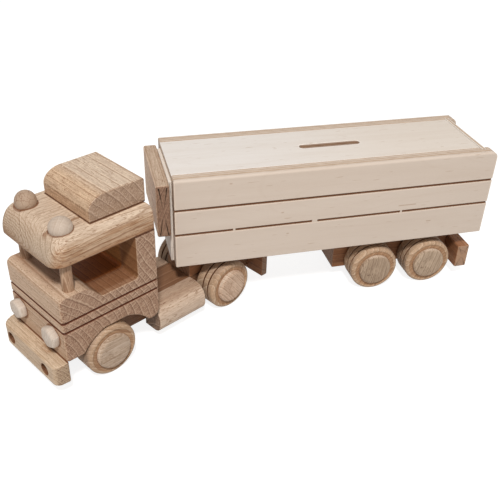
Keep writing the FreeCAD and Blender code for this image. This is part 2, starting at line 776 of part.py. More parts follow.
def bogie_block():
    """Block under the box, drilled for both trailer axles."""
    body = new_body("bogie_block")
    front = first_axle_place + size.wheel_radius + size.bogie_front_gap
    box(body, (bogie_rear, -size.chassis_width / 2, beam_low),
        (front - bogie_rear, size.chassis_width, box_low - beam_low))
    for place in (first_axle_place, second_axle_place):
        drill_for_axle(body, place)
    return body


def rear_beam():
    """Beam across the rear end of the bogie block."""
    body = new_body("rear_beam")
    box(body, (bogie_rear - size.rear_beam_depth, -size.rear_beam_length / 2,
               size.wheel_radius - size.rear_beam_drop),
        (size.rear_beam_depth, size.rear_beam_length, size.rear_beam_height))
    soften(body, "Fillet", size.rear_beam_rounding, lambda edge: True)
    return body


# Assembly

def axle_set(prefix, frame, place, face, grooved):
    """Axle, two wheels and two hub discs, with the place of each."""
    centre = FreeCAD.Vector(place.value, 0, size.wheel_radius.value)
    pieces = [(axle("%s_axle" % prefix, face), frame * FreeCAD.Placement(centre, FreeCAD.Rotation()))]
    for side in (LEFT, RIGHT):
        turn = FreeCAD.Rotation() if side == LEFT else HALF_TURN
        outward = FreeCAD.Vector(0, face.value * side, 0)
        seat = frame * FreeCAD.Placement(centre + outward, turn)
        pieces.append((wheel("%s_wheel_%s" % (prefix, SIDE_NAMES[side]), grooved), seat))
        pieces.append((hub_disc("%s_hub_%s" % (prefix, SIDE_NAMES[side])), seat))
    return pieces


def build_tractor():
    turn = FreeCAD.Rotation(FreeCAD.Vector(0, 0, 1), size.fold_angle.value)
    frame = FreeCAD.Placement(FreeCAD.Vector(), turn)
    bodies = [cab_block(), cab_roof(), wind_deflector(), front_bumper(), chassis_beam(),
              coupling_block(), tail_board()]
    for side in (LEFT, RIGHT):
        bodies += [roof_light(side), windscreen_pillar(side), headlight(side), fuel_tank(side)]
    pieces = [(body, frame) for body in bodies]
    pieces += axle_set("front", frame, steer_axle_place, steer_wheel_face, False)
    pieces += axle_set("drive", frame, size.drive_axle_place, wheel_face, True)
    return pieces


def build_trailer():
    frame = FreeCAD.Placement()
    bodies = [side_panel(LEFT), side_panel(RIGHT), lid(), front_panel(), trailer_floor(), tailgate(),
              headboard(), kingpin(), bogie_block(), rear_beam()]
    pieces = [(body, frame) for body in bodies]
    pieces += axle_set("trailer_first", frame, first_axle_place, wheel_face, True)
    pieces += axle_set("trailer_second", frame, second_axle_place, wheel_face, True)
    return pieces


def settle(pieces):
    """Put every piece in the shared frame, with the origin under the middle of the whole."""
    whole = FreeCAD.BoundBox()
    for body, place in pieces:
        body.Placement = place
        whole.add(body.Shape.optimalBoundingBox(False, False))
    to_origin = FreeCAD.Vector(-whole.Center.x, -whole.Center.y, -whole.ZMin)
    shift = FreeCAD.Placement(to_origin, FreeCAD.Rotation())
    for body, place in pieces:
        body.Placement = shift * place
    document.recompute()


def check(pieces):
    """Stop before anything is written if an object failed or a shape is not sound."""
    for item in document.Objects:
        if "Invalid" in item.State or "Error" in item.State:
            raise ValueError("%s did not compute" % item.Label)
    for body, place in pieces:
        if body.Shape.isNull() or not body.Shape.isValid() or len(body.Shape.Solids) != 1:
            raise ValueError("%s is not one sound solid" % body.Label)


def write(pieces):
    os.makedirs("parts", exist_ok=True)
    for body, place in pieces:
        body.Shape.exportStep("parts/%s.step" % body.Label)


lorry = build_tractor() + build_trailer()
settle(lorry)
check(lorry)
write(lorry)
print("%d pieces written" % len(lorry))
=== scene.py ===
"""Looks of the wooden toy articulated lorry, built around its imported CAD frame.

Shapes are worked out in millimetres in two seats that share the kingpin's axis: the
trailer's, whose axes are the row's, and the tractor's, turned by the fold angle.
`finished` carries a shape from its seat into the row frame, in metres.
"""

import json
import math
from dataclasses import dataclass, replace

import bpy
import numpy as np
from mathutils import Matrix, Vector

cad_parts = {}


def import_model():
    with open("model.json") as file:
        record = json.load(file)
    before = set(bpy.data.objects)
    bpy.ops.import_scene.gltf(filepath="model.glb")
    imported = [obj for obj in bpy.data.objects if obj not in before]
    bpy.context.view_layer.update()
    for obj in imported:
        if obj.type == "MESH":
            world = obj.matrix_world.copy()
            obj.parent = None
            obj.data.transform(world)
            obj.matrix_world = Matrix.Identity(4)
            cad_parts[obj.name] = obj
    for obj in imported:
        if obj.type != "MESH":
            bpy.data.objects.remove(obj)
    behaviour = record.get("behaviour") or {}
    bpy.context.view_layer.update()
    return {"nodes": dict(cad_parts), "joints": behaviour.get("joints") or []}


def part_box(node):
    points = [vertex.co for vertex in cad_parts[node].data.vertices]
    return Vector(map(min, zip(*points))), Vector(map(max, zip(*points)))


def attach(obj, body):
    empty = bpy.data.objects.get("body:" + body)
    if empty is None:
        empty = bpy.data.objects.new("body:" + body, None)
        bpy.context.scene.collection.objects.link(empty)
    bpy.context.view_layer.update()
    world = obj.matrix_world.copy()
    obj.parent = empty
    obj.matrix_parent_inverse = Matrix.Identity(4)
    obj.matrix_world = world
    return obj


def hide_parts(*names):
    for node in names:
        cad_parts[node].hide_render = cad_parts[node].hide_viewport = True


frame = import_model()

MM = 0.001
FULL_TURN = 2 * math.pi
QUARTER_TURN = math.pi / 2
SIDES = (("left", 1), ("right", -1))


# ---- seats in the row frame

def joint(name):
    return next(entry for entry in frame["joints"] if entry["name"] == name)


def fold_angle():
    """Angle of the tractor about the kingpin, read from its axle's direction."""
    across = joint("front_axle_roll")["axis"]
    return math.atan2(-across[0], across[1])


class Seat:
    """A frame turned about the kingpin's axis, with its floor at the row's z = 0."""

    def __init__(self, turn):
        low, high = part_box("kingpin")
        middle = (low + high) / 2
        self.origin = np.array([middle.x, middle.y, 0.0])
        self.turn = turn
        c, s = math.cos(turn), math.sin(turn)
        self.axes = np.array([[c, -s, 0], [s, c, 0], [0, 0, 1]])

    def to_row(self, points):
        """Millimetres in this seat to metres in the row frame."""
        return points * MM @ self.axes.T + self.origin

    def box(self, node):
        """Low and high corner of a CAD node in this seat, in millimetres."""
        vertices = frame["nodes"][node].data.vertices
        flat = np.zeros(len(vertices) * 3, np.float32)
        vertices.foreach_get("co", flat)
        local = (flat.reshape(-1, 3).astype(float) - self.origin) @ self.axes / MM
        return local.min(axis=0), local.max(axis=0)


TRAILER = Seat(0.0)
TRACTOR = Seat(fold_angle())


# ---- outlines

def rounded_outline(corners, radii, steps=6):
    """Closed outline whose corners are arcs.

    Each corner is replaced by the arc that touches both its sides: it starts and ends
    radius / tan(half the corner's inner angle) from the corner.
    """
    corners = np.asarray(corners, float)
    count = len(corners)
    pieces = []
    for index in range(count):
        corner = corners[index]
        radius = radii[index]
        if radius <= 0:
            pieces.append(corner[None, :])
            continue
        back = corners[index - 1] - corner
        ahead = corners[(index + 1) % count] - corner
        back /= np.linalg.norm(back)
        ahead /= np.linalg.norm(ahead)
        half = math.acos(np.clip(back @ ahead, -1, 1)) / 2
        middle = (back + ahead) / np.linalg.norm(back + ahead)
        centre = corner + middle * radius / math.sin(half)
        start = corner + back * radius / math.tan(half) - centre
        stop = corner + ahead * radius / math.tan(half) - centre
        sweep = math.atan2(start[0] * stop[1] - start[1] * stop[0], start @ stop)
        angle = math.atan2(start[1], start[0]) + sweep * np.linspace(0, 1, steps + 1)
        pieces.append(centre + radius * np.stack([np.cos(angle), np.sin(angle)], axis=1))
    return np.concatenate(pieces)


def outward(outline):
    """Mitred outward direction at each point of a closed counter-clockwise outline."""
    ahead = np.roll(outline, -1, axis=0) - outline
    ahead /= np.maximum(np.linalg.norm(ahead, axis=1, keepdims=True), 1e-9)
    after = np.stack([ahead[:, 1], -ahead[:, 0]], axis=1)
    before = np.roll(after, 1, axis=0)
    overlap = 1 + (after * before).sum(axis=1, keepdims=True)
    return (after + before) / np.maximum(overlap, 0.3)


def rectangle(left, right, foot, top):
    return [(left, foot), (right, foot), (right, top), (left, top)]


# ---- surfaces

def loft(loops, wrap=False):
    """Mesh through a stack of loops (rings, points, 3); wrap joins the last ring to the first.

    Without wrap each end is closed by a fan to the middle of its ring.
    """
    rings, around, _ = loops.shape
    vertices = loops.reshape(-1, 3)
    ring_count = rings if wrap else rings - 1
    ring = np.arange(ring_count)[:, None]
    step = np.arange(around)[None, :]
    upper = (ring + 1) % rings * around
    lower = ring * around
    following = (step + 1) % around
    quads = np.stack([lower + step, lower + following, upper + following, upper + step], axis=-1)
    faces = quads.reshape(-1, 4).tolist()
    if not wrap:
        middles = np.stack([loops[0].mean(axis=0), loops[-1].mean(axis=0)])
        vertices = np.concatenate([vertices, middles])
        first_middle = rings * around
        last_ring = (rings - 1) * around
        for index in range(around):
            next_index = (index + 1) % around
            faces.append([next_index, index, first_middle])
            faces.append([last_ring + index, last_ring + next_index, first_middle + 1])
    return vertices, faces


def at_level(outline, level, axis):
    """Outline points on x, y and z, at a level along an axis."""
    across, up = outline.T
    along = np.full(len(outline), level)
    order = {"x": (along, across, up), "y": (across, along, up), "z": (across, up, along)}
    return np.stack(order[axis], axis=-1)


def prism(outline, low, high, axis, edge):
    """An outline carried along an axis, with both end edges rounded.

    At angle t of the rounding the outline is inset by edge * (1 - sin t) and stands
    edge * (1 - cos t) inside the end; a last ring, well inside, keeps the end flat.
    """
    outline = np.asarray(outline, float)
    direction = outward(outline)
    rings = [(edge * 1.6, 0.0)]
    for angle in np.linspace(0, QUARTER_TURN, 5):
        rings.append((edge * (1 - math.sin(angle)), edge * (1 - math.cos(angle))))
    levels = [(inset, low + place) for inset, place in rings]
    levels += [(inset, high - place) for inset, place in reversed(rings)]
    return loft(np.array([at_level(outline - direction * inset, level, axis) for inset, level in levels]))


def board(low, high, edge, axis):
    """A board between two corners, long along an axis, with all its edges rounded."""
    across, up = {"x": (1, 2), "y": (0, 2), "z": (0, 1)}[axis]
    along = "xyz".index(axis)
    outline = rounded_outline(rectangle(low[across], high[across], low[up], high[up]), [edge] * 4, 4)
    return prism(outline, low[along], high[along], axis, edge)


def turned(profile, segments=96, wrap=False):
    """A profile of (place on the axle, radius) turned about the y axis."""
    profile = np.asarray(profile, float)
    angle = np.linspace(0, FULL_TURN, segments, endpoint=False)
    radius = profile[:, 1][:, None]
    loops = np.stack([
        radius * np.sin(angle)[None, :],
        np.repeat(profile[:, 0][:, None], segments, axis=1),
        radius * np.cos(angle)[None, :],
    ], axis=-1)
    return loft(loops, wrap)


def moved(shape, offset, axis="y"):
    """Moves a shape made about the y axis, after turning it to lie about another one."""
    vertices, faces = shape
    order = {"x": [1, 2, 0], "y": [0, 1, 2], "z": [2, 0, 1]}[axis]
    return vertices[:, order] + np.asarray(offset, float), faces


# ---- carved solids

def rounded_cut(first, second, radius):
    """Distance to what is inside both, with the edge where they meet rounded."""
    a, b = first + radius, second + radius
    corner = np.hypot(np.maximum(a, 0), np.maximum(b, 0))
    return corner + np.minimum(np.maximum(a, b), 0) - radius


def outline_distance(outline, across, up):
    """Signed distance to a closed outline: the least distance to its sides, negative inside.

    Inside is told by how often a ray to the right crosses the outline.
    """
    nearest = np.full(np.broadcast(across, up).shape, np.inf)
    inside = np.zeros(nearest.shape, bool)
    for start, stop in zip(outline, np.roll(outline, -1, axis=0)):
        side = stop - start
        share = ((across - start[0]) * side[0] + (up - start[1]) * side[1]) / (side @ side)
        share = np.clip(share, 0, 1)
        gap = np.hypot(across - start[0] - share * side[0], up - start[1] - share * side[1])
        nearest = np.minimum(nearest, gap)
        if start[1] != stop[1]:
            crossing = start[0] + (up - start[1]) / side[1] * side[0]
            between = (up >= min(start[1], stop[1])) & (up < max(start[1], stop[1]))
            inside ^= between & (across < crossing)
    return np.where(inside, -nearest, nearest)


def levels(low, high, step, fine=(), fine_step=0.3):
    """Grid lines past both ends, close together in the fine zones (from, to)."""
    margin = 2 * fine_step
    edge = 1.8
    lines = [low - margin]
    zones = [(low - margin, low + edge), (high - edge, high + margin), *fine]
    while lines[-1] < high + margin:
        here = lines[-1]
        near = any(start - step <= here <= stop for start, stop in zones)
        lines.append(here + (fine_step if near else step))
    return np.array(lines)


def carved(distance, xs, ys, zs):
    """Skin of a solid given by its signed distance, on a grid of uneven lines.

    A cell that the surface passes through gets one vertex, the mean of where its edges
    cross the surface; each crossed grid edge joins the four cells round it.  Three steps
    of distance against its gradient then put every vertex on the surface itself.
    """
    lines = [xs, ys, zs]
    grid = np.stack(np.meshgrid(*lines, indexing="ij"), axis=-1)
    value = distance(xs[:, None, None], ys[None, :, None], zs[None, None, :]) + np.zeros(grid.shape[:3])
    cells = tuple(count - 1 for count in value.shape)
    total = np.zeros(cells + (3,))
    hits = np.zeros(cells)
    crossings = []
    for axis in range(3):
        first, second = np.delete(value, -1, axis), np.delete(value, 0, axis)
        crossed = (first < 0) != (second < 0)
        share = np.where(crossed, first / np.where(crossed, first - second, 1), 0)
        points = np.delete(grid, -1, axis)
        steps = np.diff(lines[axis]).reshape([-1 if other == axis else 1 for other in range(3)])
        points[..., axis] += share * steps
        points *= crossed[..., None]
        near, far = [other for other in range(3) if other != axis]
        for back_near in (0, 1):
            for back_far in (0, 1):
                window = [slice(None)] * 3
                window[near] = slice(back_near, cells[near] + back_near)
                window[far] = slice(back_far, cells[far] + back_far)
                total += points[tuple(window)]
                hits += crossed[tuple(window)]
        crossings.append((axis, crossed, first < 0))
    used = hits > 0
    number = np.full(cells, -1)
    number[used] = np.arange(used.sum())
    vertices = total[used] / hits[used][:, None]
    faces = np.concatenate([ring_faces(number, *crossing) for crossing in crossings])
    for _ in range(3):
        slope = gradient(distance, vertices)
        size = np.maximum((slope ** 2).sum(axis=1), 0.2)
        vertices = vertices - slope * (distance(*vertices.T) / size)[:, None]
    return vertices, faces.tolist()


def ring_faces(number, axis, crossed, leaving):
    """Quads of the four cells round each crossed edge, seen from outside."""
    first, second = [(1, 2), (2, 0), (0, 1)][axis]
    inner = [slice(None)] * 3
    inner[first] = inner[second] = slice(1, -1)
    places = np.argwhere(crossed[tuple(inner)])
    places[:, first] += 1
    places[:, second] += 1
    corners = []
    for back_first, back_second in ((1, 1), (0, 1), (0, 0), (1, 0)):
        cell = places.copy()
        cell[:, first] -= back_first
        cell[:, second] -= back_second
        corners.append(number[tuple(cell.T)])
    quads = np.stack(corners, axis=1)
    outside = leaving[tuple(places.T)]
    return np.where(outside[:, None], quads, quads[:, ::-1])


def gradient(distance, points, reach=0.02):
    """Slope of the distance by central differences."""
    slopes = []
    for axis in range(3):
        offset = np.zeros(3)
        offset[axis] = reach
        ahead, behind = points + offset, points - offset
        slopes.append((distance(*ahead.T) - distance(*behind.T)) / (2 * reach))
    return np.stack(slopes, axis=1)


# ---- pieces

def signed_volume(vertices, faces):
    """Volume by the divergence theorem, negative where the faces point inwards."""
    total = 0.0
    for count in (3, 4):
        chosen = np.array([face for face in faces if len(face) == count])
        if not len(chosen):
            continue
        corners = vertices[chosen]
        for second in range(1, count - 1):
            cross = np.cross(corners[:, second], corners[:, second + 1])
            total += (corners[:, 0] * cross).sum() / 6
    return total


SHARP_ANGLE = math.radians(50)


def linked(name, data):
    """A new object in the scene."""
    item = bpy.data.objects.new(name, data)
    bpy.context.scene.collection.objects.link(item)
    return item


def finished(node, shape, seat, body, material, smooth_from=None):
    """The piece that stands for a node: its shape placed, shaded and riding on its body.

    Shading normals come from the slope of the distance it was carved from, if there is one.
    """
    name = node + "_piece"
    vertices, faces = shape
    vertices = np.asarray(vertices, float)
    if signed_volume(vertices, faces) < 0:
        faces = [face[::-1] for face in faces]
    mesh = bpy.data.meshes.new(name)
    mesh.from_pydata(seat.to_row(vertices).tolist(), [], faces)
    mesh.polygons.foreach_set("use_smooth", np.ones(len(faces), bool))
    mesh.validate()
    if smooth_from is not None:
        slope = gradient(smooth_from, vertices)
        normals = slope / np.maximum(np.linalg.norm(slope, axis=1, keepdims=True), 1e-9)
        mesh.normals_split_custom_set_from_vertices((normals @ seat.axes.T).tolist())
    piece = linked(name, mesh)
    if smooth_from is None:
        mesh.set_sharp_from_angle(angle=SHARP_ANGLE)
        weighted = piece.modifiers.new("even_shading", "WEIGHTED_NORMAL")
        weighted.keep_sharp = True
    mesh.materials.append(material)
    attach(piece, body)
    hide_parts(node)


# ---- fields: what shader nodes work out

def add(tree, kind, *inputs, **settings):
    """A new node with its settings made and its first inputs fed, in order."""
    node = tree.nodes.new(kind)
    for name, value in settings.items():
        setattr(node, name, value)
    for socket, value in zip(node.inputs, inputs):
        feed(socket, value)
    return node


def feed(socket, value):
    """Links an input to a field, or sets it to a number, a vector or a colour."""
    if isinstance(value, Field):
        socket.id_data.links.new(value.socket, socket)
    else:
        socket.default_value = (*value, 1.0) if socket.type == "RGBA" else value


def tree_of(*values):
    return next(value.socket.id_data for value in values if isinstance(value, Field))


class Field:
    """A value that shader nodes work out at each point; arithmetic with it adds nodes."""

    __array_ufunc__ = None                  # leaves arithmetic with numpy numbers to this class

    def __init__(self, socket):
        self.socket = socket

    def math(self, operation, *others):
        return arithmetic(operation, self, *others)

    def __add__(self, other):
        return arithmetic("ADD", self, other)

    __radd__ = __add__

    def __sub__(self, other):
        return arithmetic("SUBTRACT", self, other)

    def __rsub__(self, other):
        return arithmetic("SUBTRACT", other, self)

    def __mul__(self, other):
        return arithmetic("MULTIPLY", self, other)

    def __truediv__(self, other):
        return arithmetic("DIVIDE", self, other)

    def __abs__(self):
        return arithmetic("ABSOLUTE", self)

    def away(self, middle):
        """How far the value lies from a middle."""
        return abs(self - middle)

    def ramp(self, start, stop):
        """Smooth step of the value from 0 at start to 1 at stop."""
        node = add(tree_of(self), "ShaderNodeMapRange", self, start, stop, interpolation_type="SMOOTHSTEP")
        return Field(node.outputs[0])

    def within(self, start, stop, soft):
        """1 between start and stop, falling to 0 over soft on either side."""
        return self.ramp(start - soft, start + soft) * self.ramp(stop + soft, stop - soft)

    def noise(self, scales, detail=1.0, roughness=0.5, output="Fac"):
        """Noise at this place times scales, so features are about 1 / scale millimetres long."""
        node = add(tree_of(self), "ShaderNodeTexNoise", self * scales, 0.0, 1.0, detail, roughness)
        return Field(node.outputs[output])

    def split(self):
        node = add(tree_of(self), "ShaderNodeSeparateXYZ", self)
        return [Field(socket) for socket in node.outputs]


def arithmetic(operation, *values):
    """Number or vector arithmetic, told by the kind of the first field."""
    plain = next(value for value in values if isinstance(value, Field)).socket.type == "VALUE"
    node = add(tree_of(*values), "ShaderNodeMath" if plain else "ShaderNodeVectorMath", *values,
               operation=operation)
    to_number = plain or operation in ("DOT_PRODUCT", "LENGTH")
    return Field(node.outputs["Value" if to_number else "Vector"])


def joined(*values):
    return Field(add(tree_of(*values), "ShaderNodeCombineXYZ", *values).outputs[0])


def mixed(factor, first, second, blend="MIX"):
    """The first colour with the second blended over it by a factor."""
    node = add(tree_of(factor, first, second), "ShaderNodeMix", factor, data_type="RGBA", blend_type=blend)
    sockets = [socket for socket in node.inputs if socket.type == "RGBA"]
    for socket, value in zip(sockets, (first, second)):
        feed(socket, value)
    return Field(next(socket for socket in node.outputs if socket.type == "RGBA"))


def layered(colour, *layers):
    """Lays (factor, colour) layers over a colour, one after another."""
    for factor, layer in layers:
        colour = mixed(factor, colour, layer)
    return colour


def hypot(first, second):
    return (first * first + second * second).math("POWER", 0.5)


def past(value, low, high):
    """How far a value lies outside a range, 0 inside it."""
    return (value.away((low + high) / 2) - (high - low) / 2).math("MAXIMUM", 0.0)


def past_ring(x, y, centre, radius):
    """Distance in a plane from a point to a circle, negative inside it."""
    return hypot(x - centre[0], y - centre[1]) - radius


# ---- wood

@dataclass
class Timber:
    """Colours (linear) and figure of one kind of wood; lengths in millimetres."""
    light: tuple = (0.6, 0.455, 0.335)      # early wood along the grain
    dark: tuple = (0.47, 0.315, 0.205)      # late wood along the grain
    dash: tuple = (0.27, 0.15, 0.085)       # short dark vessel lines
    bright: tuple = (0.72, 0.58, 0.44)      # worn edges, pale lines and pale flecks
    end_light: tuple = (0.42, 0.285, 0.205)
    end_dark: tuple = (0.21, 0.125, 0.08)
    end_bright: tuple = (0.55, 0.4, 0.3)
    ring: float = 4.7                       # spacing of the year rings
    wander: float = 3.0                     # how far rings drift from true circles
    ring_tone: float = 0.55                 # how much each ring darkens outwards
    ring_lines: float = 0.45                # strength of the lines between rings, along the grain
    end_lines: float = 0.75                 # the same on end grain
    streaks: float = 0.6
    dashes: float = 0.45
    dash_length: float = 2.2
    flecks: float = 0.0                     # pale ladder-like flecks across the grain
    rays: float = 0.35                      # fine radial lines on end grain
    grain: float = 0.5                      # strength of the figure a millimetre or so across
    speckle: float = 0.5                    # the same on end grain
    nicks: float = 0.0                      # dark flaws along the arrises
    wear: float = 0.35                      # how pale the arrises are


BEECH = Timber()
RED_BEECH = replace(
    BEECH, light=(0.36, 0.156, 0.071), dark=(0.25, 0.098, 0.041), bright=(0.45, 0.25, 0.14),
    dash=(0.14, 0.06, 0.03), end_light=(0.33, 0.195, 0.128), end_dark=(0.16, 0.085, 0.05),
    end_bright=(0.42, 0.27, 0.185))
PALE_BEECH = replace(
    BEECH, light=(0.66, 0.555, 0.44), dark=(0.56, 0.43, 0.32), dash=(0.36, 0.245, 0.16),
    bright=(0.76, 0.66, 0.54), end_light=(0.62, 0.49, 0.38), end_dark=(0.36, 0.25, 0.17),
    end_bright=(0.74, 0.63, 0.52))


def grain_axes(along):
    """Turn whose first axis runs along the grain."""
    first = Vector(along).normalized()
    helper = Vector((0, 1, 0)) if abs(first.z) > 0.9 else Vector((0, 0, 1))
    second = helper.cross(first).normalized()
    return Matrix((first, second, first.cross(second))).transposed()


def in_millimetres(tree, place, turn):
    """Object coordinates seen from a place and a turn, in millimetres, and the normal."""
    coordinate = add(tree, "ShaderNodeTexCoord").outputs
    mapping = add(tree, "ShaderNodeMapping", Field(coordinate["Object"]), list(place), turn.to_euler(),
                  (MM, MM, MM), vector_type="TEXTURE")
    return Field(mapping.outputs[0]), Field(coordinate["Normal"])


def seat_matrix(seat):
    return Matrix([list(row) for row in seat.axes])


def start_material(name):
    material = bpy.data.materials.new(name)
    material.use_nodes = True
    return material, material.node_tree, material.node_tree.nodes["Principled BSDF"]


def worn(tree):
    """How sharply the surface bends outwards."""
    return Field(add(tree, "ShaderNodeNewGeometry").outputs["Pointiness"])


def finish_shader(shader, colour, fibre, hollow, roughness, relief):
    """Puts colour, uneven gloss and fine relief on the shader."""
    feed(shader.inputs["Base Color"], colour)
    feed(shader.inputs["Roughness"], fibre * 0.22 + (roughness - 0.06))
    shader.inputs["Specular IOR Level"].default_value = 0.25
    bump = add(shader.id_data, "ShaderNodeBump")
    bump.inputs["Strength"].default_value = relief
    bump.inputs["Distance"].default_value = 0.12 * MM
    feed(bump.inputs["Height"], fibre * 0.5 - hollow * 0.7)
    feed(shader.inputs["Normal"], Field(bump.outputs["Normal"]))


def tinted(colour, tints, seat):
    """Multiplies the colour by each tint where its mask is; tints are the wood's own marks and painted light
    and shade. Masks read seat millimetres.
    """
    if tints:
        space, _ = in_millimetres(tree_of(colour), seat.origin, seat_matrix(seat))
        for mask, tint in tints(*space.split()):
            colour = mixed(mask, colour, tint, "MULTIPLY")
    return colour


def wood(name, timber, seat, along, pith, reach=60.0, tints=None):
    """Solid wood: grain along a direction of the seat, year rings round the pith.

    Ring number is (distance to the pith's line + slow drift) / spacing; its fraction
    shades a ring from early to late wood and draws a dark and a pale line where rings
    meet.  Rays are noise on the angle round the pith, reach millimetres away from it.
    """
    material, tree, shader = start_material(name)
    turn = seat_matrix(seat) @ grain_axes(along)
    space, normal = in_millimetres(tree, seat.to_row(np.asarray(pith, float)), turn)
    facing = abs(normal.math("DOT_PRODUCT", tuple(turn @ Vector((1, 0, 0)))))

    # year rings
    half = (0.5, 0.5, 0.5)
    slow = space.noise((0.006, 0.028, 0.028), output="Color") - half
    quick = space.noise((0.05, 0.35, 0.35), output="Color") - half
    bent = space + slow * (0, 3 * timber.wander, 3 * timber.wander) + quick * (0, 0.9, 0.9)
    radius = (bent * (0, 1, 1)).math("LENGTH")
    phase = radius / timber.ring + joined(radius, 0.0, 0.0).noise((0.5 / timber.ring, 0, 0)) * 1.6
    share = phase.math("FRACT")
    tone = add(tree, "ShaderNodeTexWhiteNoise", noise_dimensions="1D")
    feed(tone.inputs["W"], phase.math("FLOOR"))
    ring_tone = share * 0.55 + Field(tone.outputs["Value"]) * 0.45
    dark_line = share.ramp(0.8, 0.93) * share.ramp(1.0, 0.95)
    pale_line = share.ramp(0.0, 0.04) * share.ramp(0.2, 0.08)

    # along the grain
    streak = bent.noise((0.006, 0.16, 0.16), 3.0, 0.6)
    fibre = space.noise((0.14, 4.2, 4.2), 2.0, 0.6)
    grain = space.noise((0.1, 1.15, 1.15), 3.0, 0.68)
    patches = space.noise((0.03, 0.09, 0.09)).ramp(0.35, 0.6)
    dash = space.noise((0.85 / timber.dash_length, 1.8, 1.8)).ramp(0.585, 0.68) * (patches * 0.7 + 0.3)
    amount = streak.ramp(0.3, 0.7) * timber.streaks + ring_tone * timber.ring_tone - 0.15
    side = layered(mixed(amount, timber.light, timber.dark),
                   (fibre.ramp(0.5, 0.8) * 0.35, timber.dark),
                   (fibre.ramp(0.5, 0.25) * 0.25, timber.bright),
                   (grain.ramp(0.5, 0.72) * timber.grain * 0.55, timber.dash),
                   (grain.ramp(0.5, 0.28) * timber.grain, timber.bright),
                   (pale_line * timber.ring_lines, timber.bright),
                   (dark_line * timber.ring_lines, timber.dash))
    if timber.flecks:
        ladder = space.noise((1.25, 0.45, 0.45)).ramp(0.52, 0.64)
        rows = space.noise((0.05, 0.7, 0.7)).ramp(0.42, 0.58)
        side = mixed(ladder * rows * timber.flecks, side, timber.bright)
    side = mixed(dash * timber.dashes, side, timber.dash)

    # end grain
    _, across, up = bent.split()
    angle = up.math("ARCTAN2", across) * reach
    rays = joined(angle, radius * 0.16, 0.0).noise((1.1, 1, 0))
    mottle = space.noise((0.2, 1.6, 1.6), 2.0, 0.7)
    speck = space.noise((0.25, 1.25, 1.25), 2.0, 0.75)
    amount = ring_tone * 0.3 + mottle.ramp(0.35, 0.7) * 0.22
    end = layered(mixed(amount, timber.end_light, timber.end_dark),
                  (speck.ramp(0.5, 0.64) * timber.speckle * 0.75, timber.end_dark),
                  (speck.ramp(0.5, 0.36) * timber.speckle * 0.65, timber.end_bright),
                  (rays.ramp(0.5, 0.68) * timber.rays, timber.end_bright),
                  (rays.ramp(0.46, 0.34) * timber.rays, timber.end_dark),
                  (pale_line * timber.end_lines * 0.8, timber.end_bright),
                  (dark_line * timber.end_lines, timber.end_dark))

    # both together, worn and tinted (the wood's marks, and painted light and shade)
    colour = mixed(facing.ramp(0.55, 0.9), side, end)
    edges = worn(tree)
    colour = mixed(edges.ramp(0.515, 0.6) * timber.wear, colour, timber.bright)
    if timber.nicks:
        flaws = space.noise((0.9, 0.9, 0.9)).ramp(0.42, 0.6)
        colour = mixed(edges.ramp(0.51, 0.56) * flaws * timber.nicks, colour, timber.dash)
    colour = tinted(colour, tints, seat)
    finish_shader(shader, colour, fibre, dash + dark_line * 0.4, roughness=0.55, relief=0.45)
    return material


@dataclass
class Veneer:
    """Colours (linear) of birch plywood: its faces and its crossed inner plies."""
    light: tuple = (0.742, 0.676, 0.61)
    dark: tuple = (0.68, 0.6, 0.522)
    mark: tuple = (0.42, 0.3, 0.205)
    cross_light: tuple = (0.6, 0.465, 0.35)
    cross_dark: tuple = (0.43, 0.3, 0.205)
    bright: tuple = (0.84, 0.785, 0.72)


LID_BIRCH = Veneer()
PANEL_BIRCH = replace(
    LID_BIRCH, light=(0.64, 0.55, 0.474), dark=(0.583, 0.485, 0.405), bright=(0.77, 0.7, 0.63))


def plywood(name, veneer, seat, axis, face, inward, plies, tints=None):
    """Birch plywood.

    Depth below a face picks the ply: plies lists (start, stop) depths of the crossed,
    darker ones.  The face veneer carries faint contour lines of a slow noise, as rotary
    cut veneer does, and a few small marks.
    """
    material, tree, shader = start_material(name)
    space, _ = in_millimetres(tree, seat.origin, seat_matrix(seat))
    height = space.noise((0.0045, 0.022, 0.022))
    contour = (height * 14.0).math("FRACT").away(0.5).ramp(0.1, 0.01)
    streak = space.noise((0.01, 0.16, 0.16), 3.0, 0.6)
    fibre = space.noise((0.16, 3.6, 3.6), 2.0, 0.6)
    cloud = space.noise((0.008, 0.03, 0.03))
    marks = space.noise((0.1, 0.75, 0.75), 0.0).ramp(0.775, 0.82)
    amount = streak.ramp(0.35, 0.7) * 0.35 + cloud * 0.5 + fibre.ramp(0.45, 0.75) * 0.22 - 0.1
    outer = layered(mixed(amount, veneer.light, veneer.dark), (contour * 0.045, veneer.mark),
                    (marks * 0.45, veneer.mark))
    depth = (space.split()["xyz".index(axis)] - face) * inward
    crossed = sum(depth.within(start, stop, 0.12) for start, stop in plies)
    broken = space.noise((0.12, 1.3, 0.5), 3.0, 0.7)
    cross = mixed(broken.ramp(0.36, 0.62), veneer.cross_light, veneer.cross_dark)
    colour = layered(outer, (crossed, cross),
                     (worn(tree).ramp(0.515, 0.6) * 0.5 * (1.0 - crossed), veneer.bright))
    colour = tinted(colour, tints, seat)
    finish_shader(shader, colour, fibre, crossed * broken, roughness=0.5, relief=0.22)
    return material


# ---- tractor

CAB_WALL = 16.0                             # thickness of the cab's rear wall
DASH_LENGTH = 21.2
DASH_HEIGHT = 50.8                          # above the foot of the cab, as the next two
CABIN_FLOOR = 39.4
CAB_GROOVES = (23.7, 31.4)
FOOT_WELL = 10.5                            # length of the slope from the dashboard to the floor
ARCH_SETBACK = 6.1                          # middle of the wheel arch behind the front axle
ARCH_MIDDLE = 9.0                           # its height above the ground
ARCH_RADIUS = 33.6
ARCH_TOP = 41.4                             # where its top is cut flat


def lamp_seats(kind, plane, across):
    """Middle in a plane, and radius along one axis, of both lamps of a kind."""
    boxes = [TRACTOR.box(kind + side) for side, _ in SIDES]
    return [(((low + high) / 2)[plane], (high[across] - low[across]) / 2) for low, high in boxes]


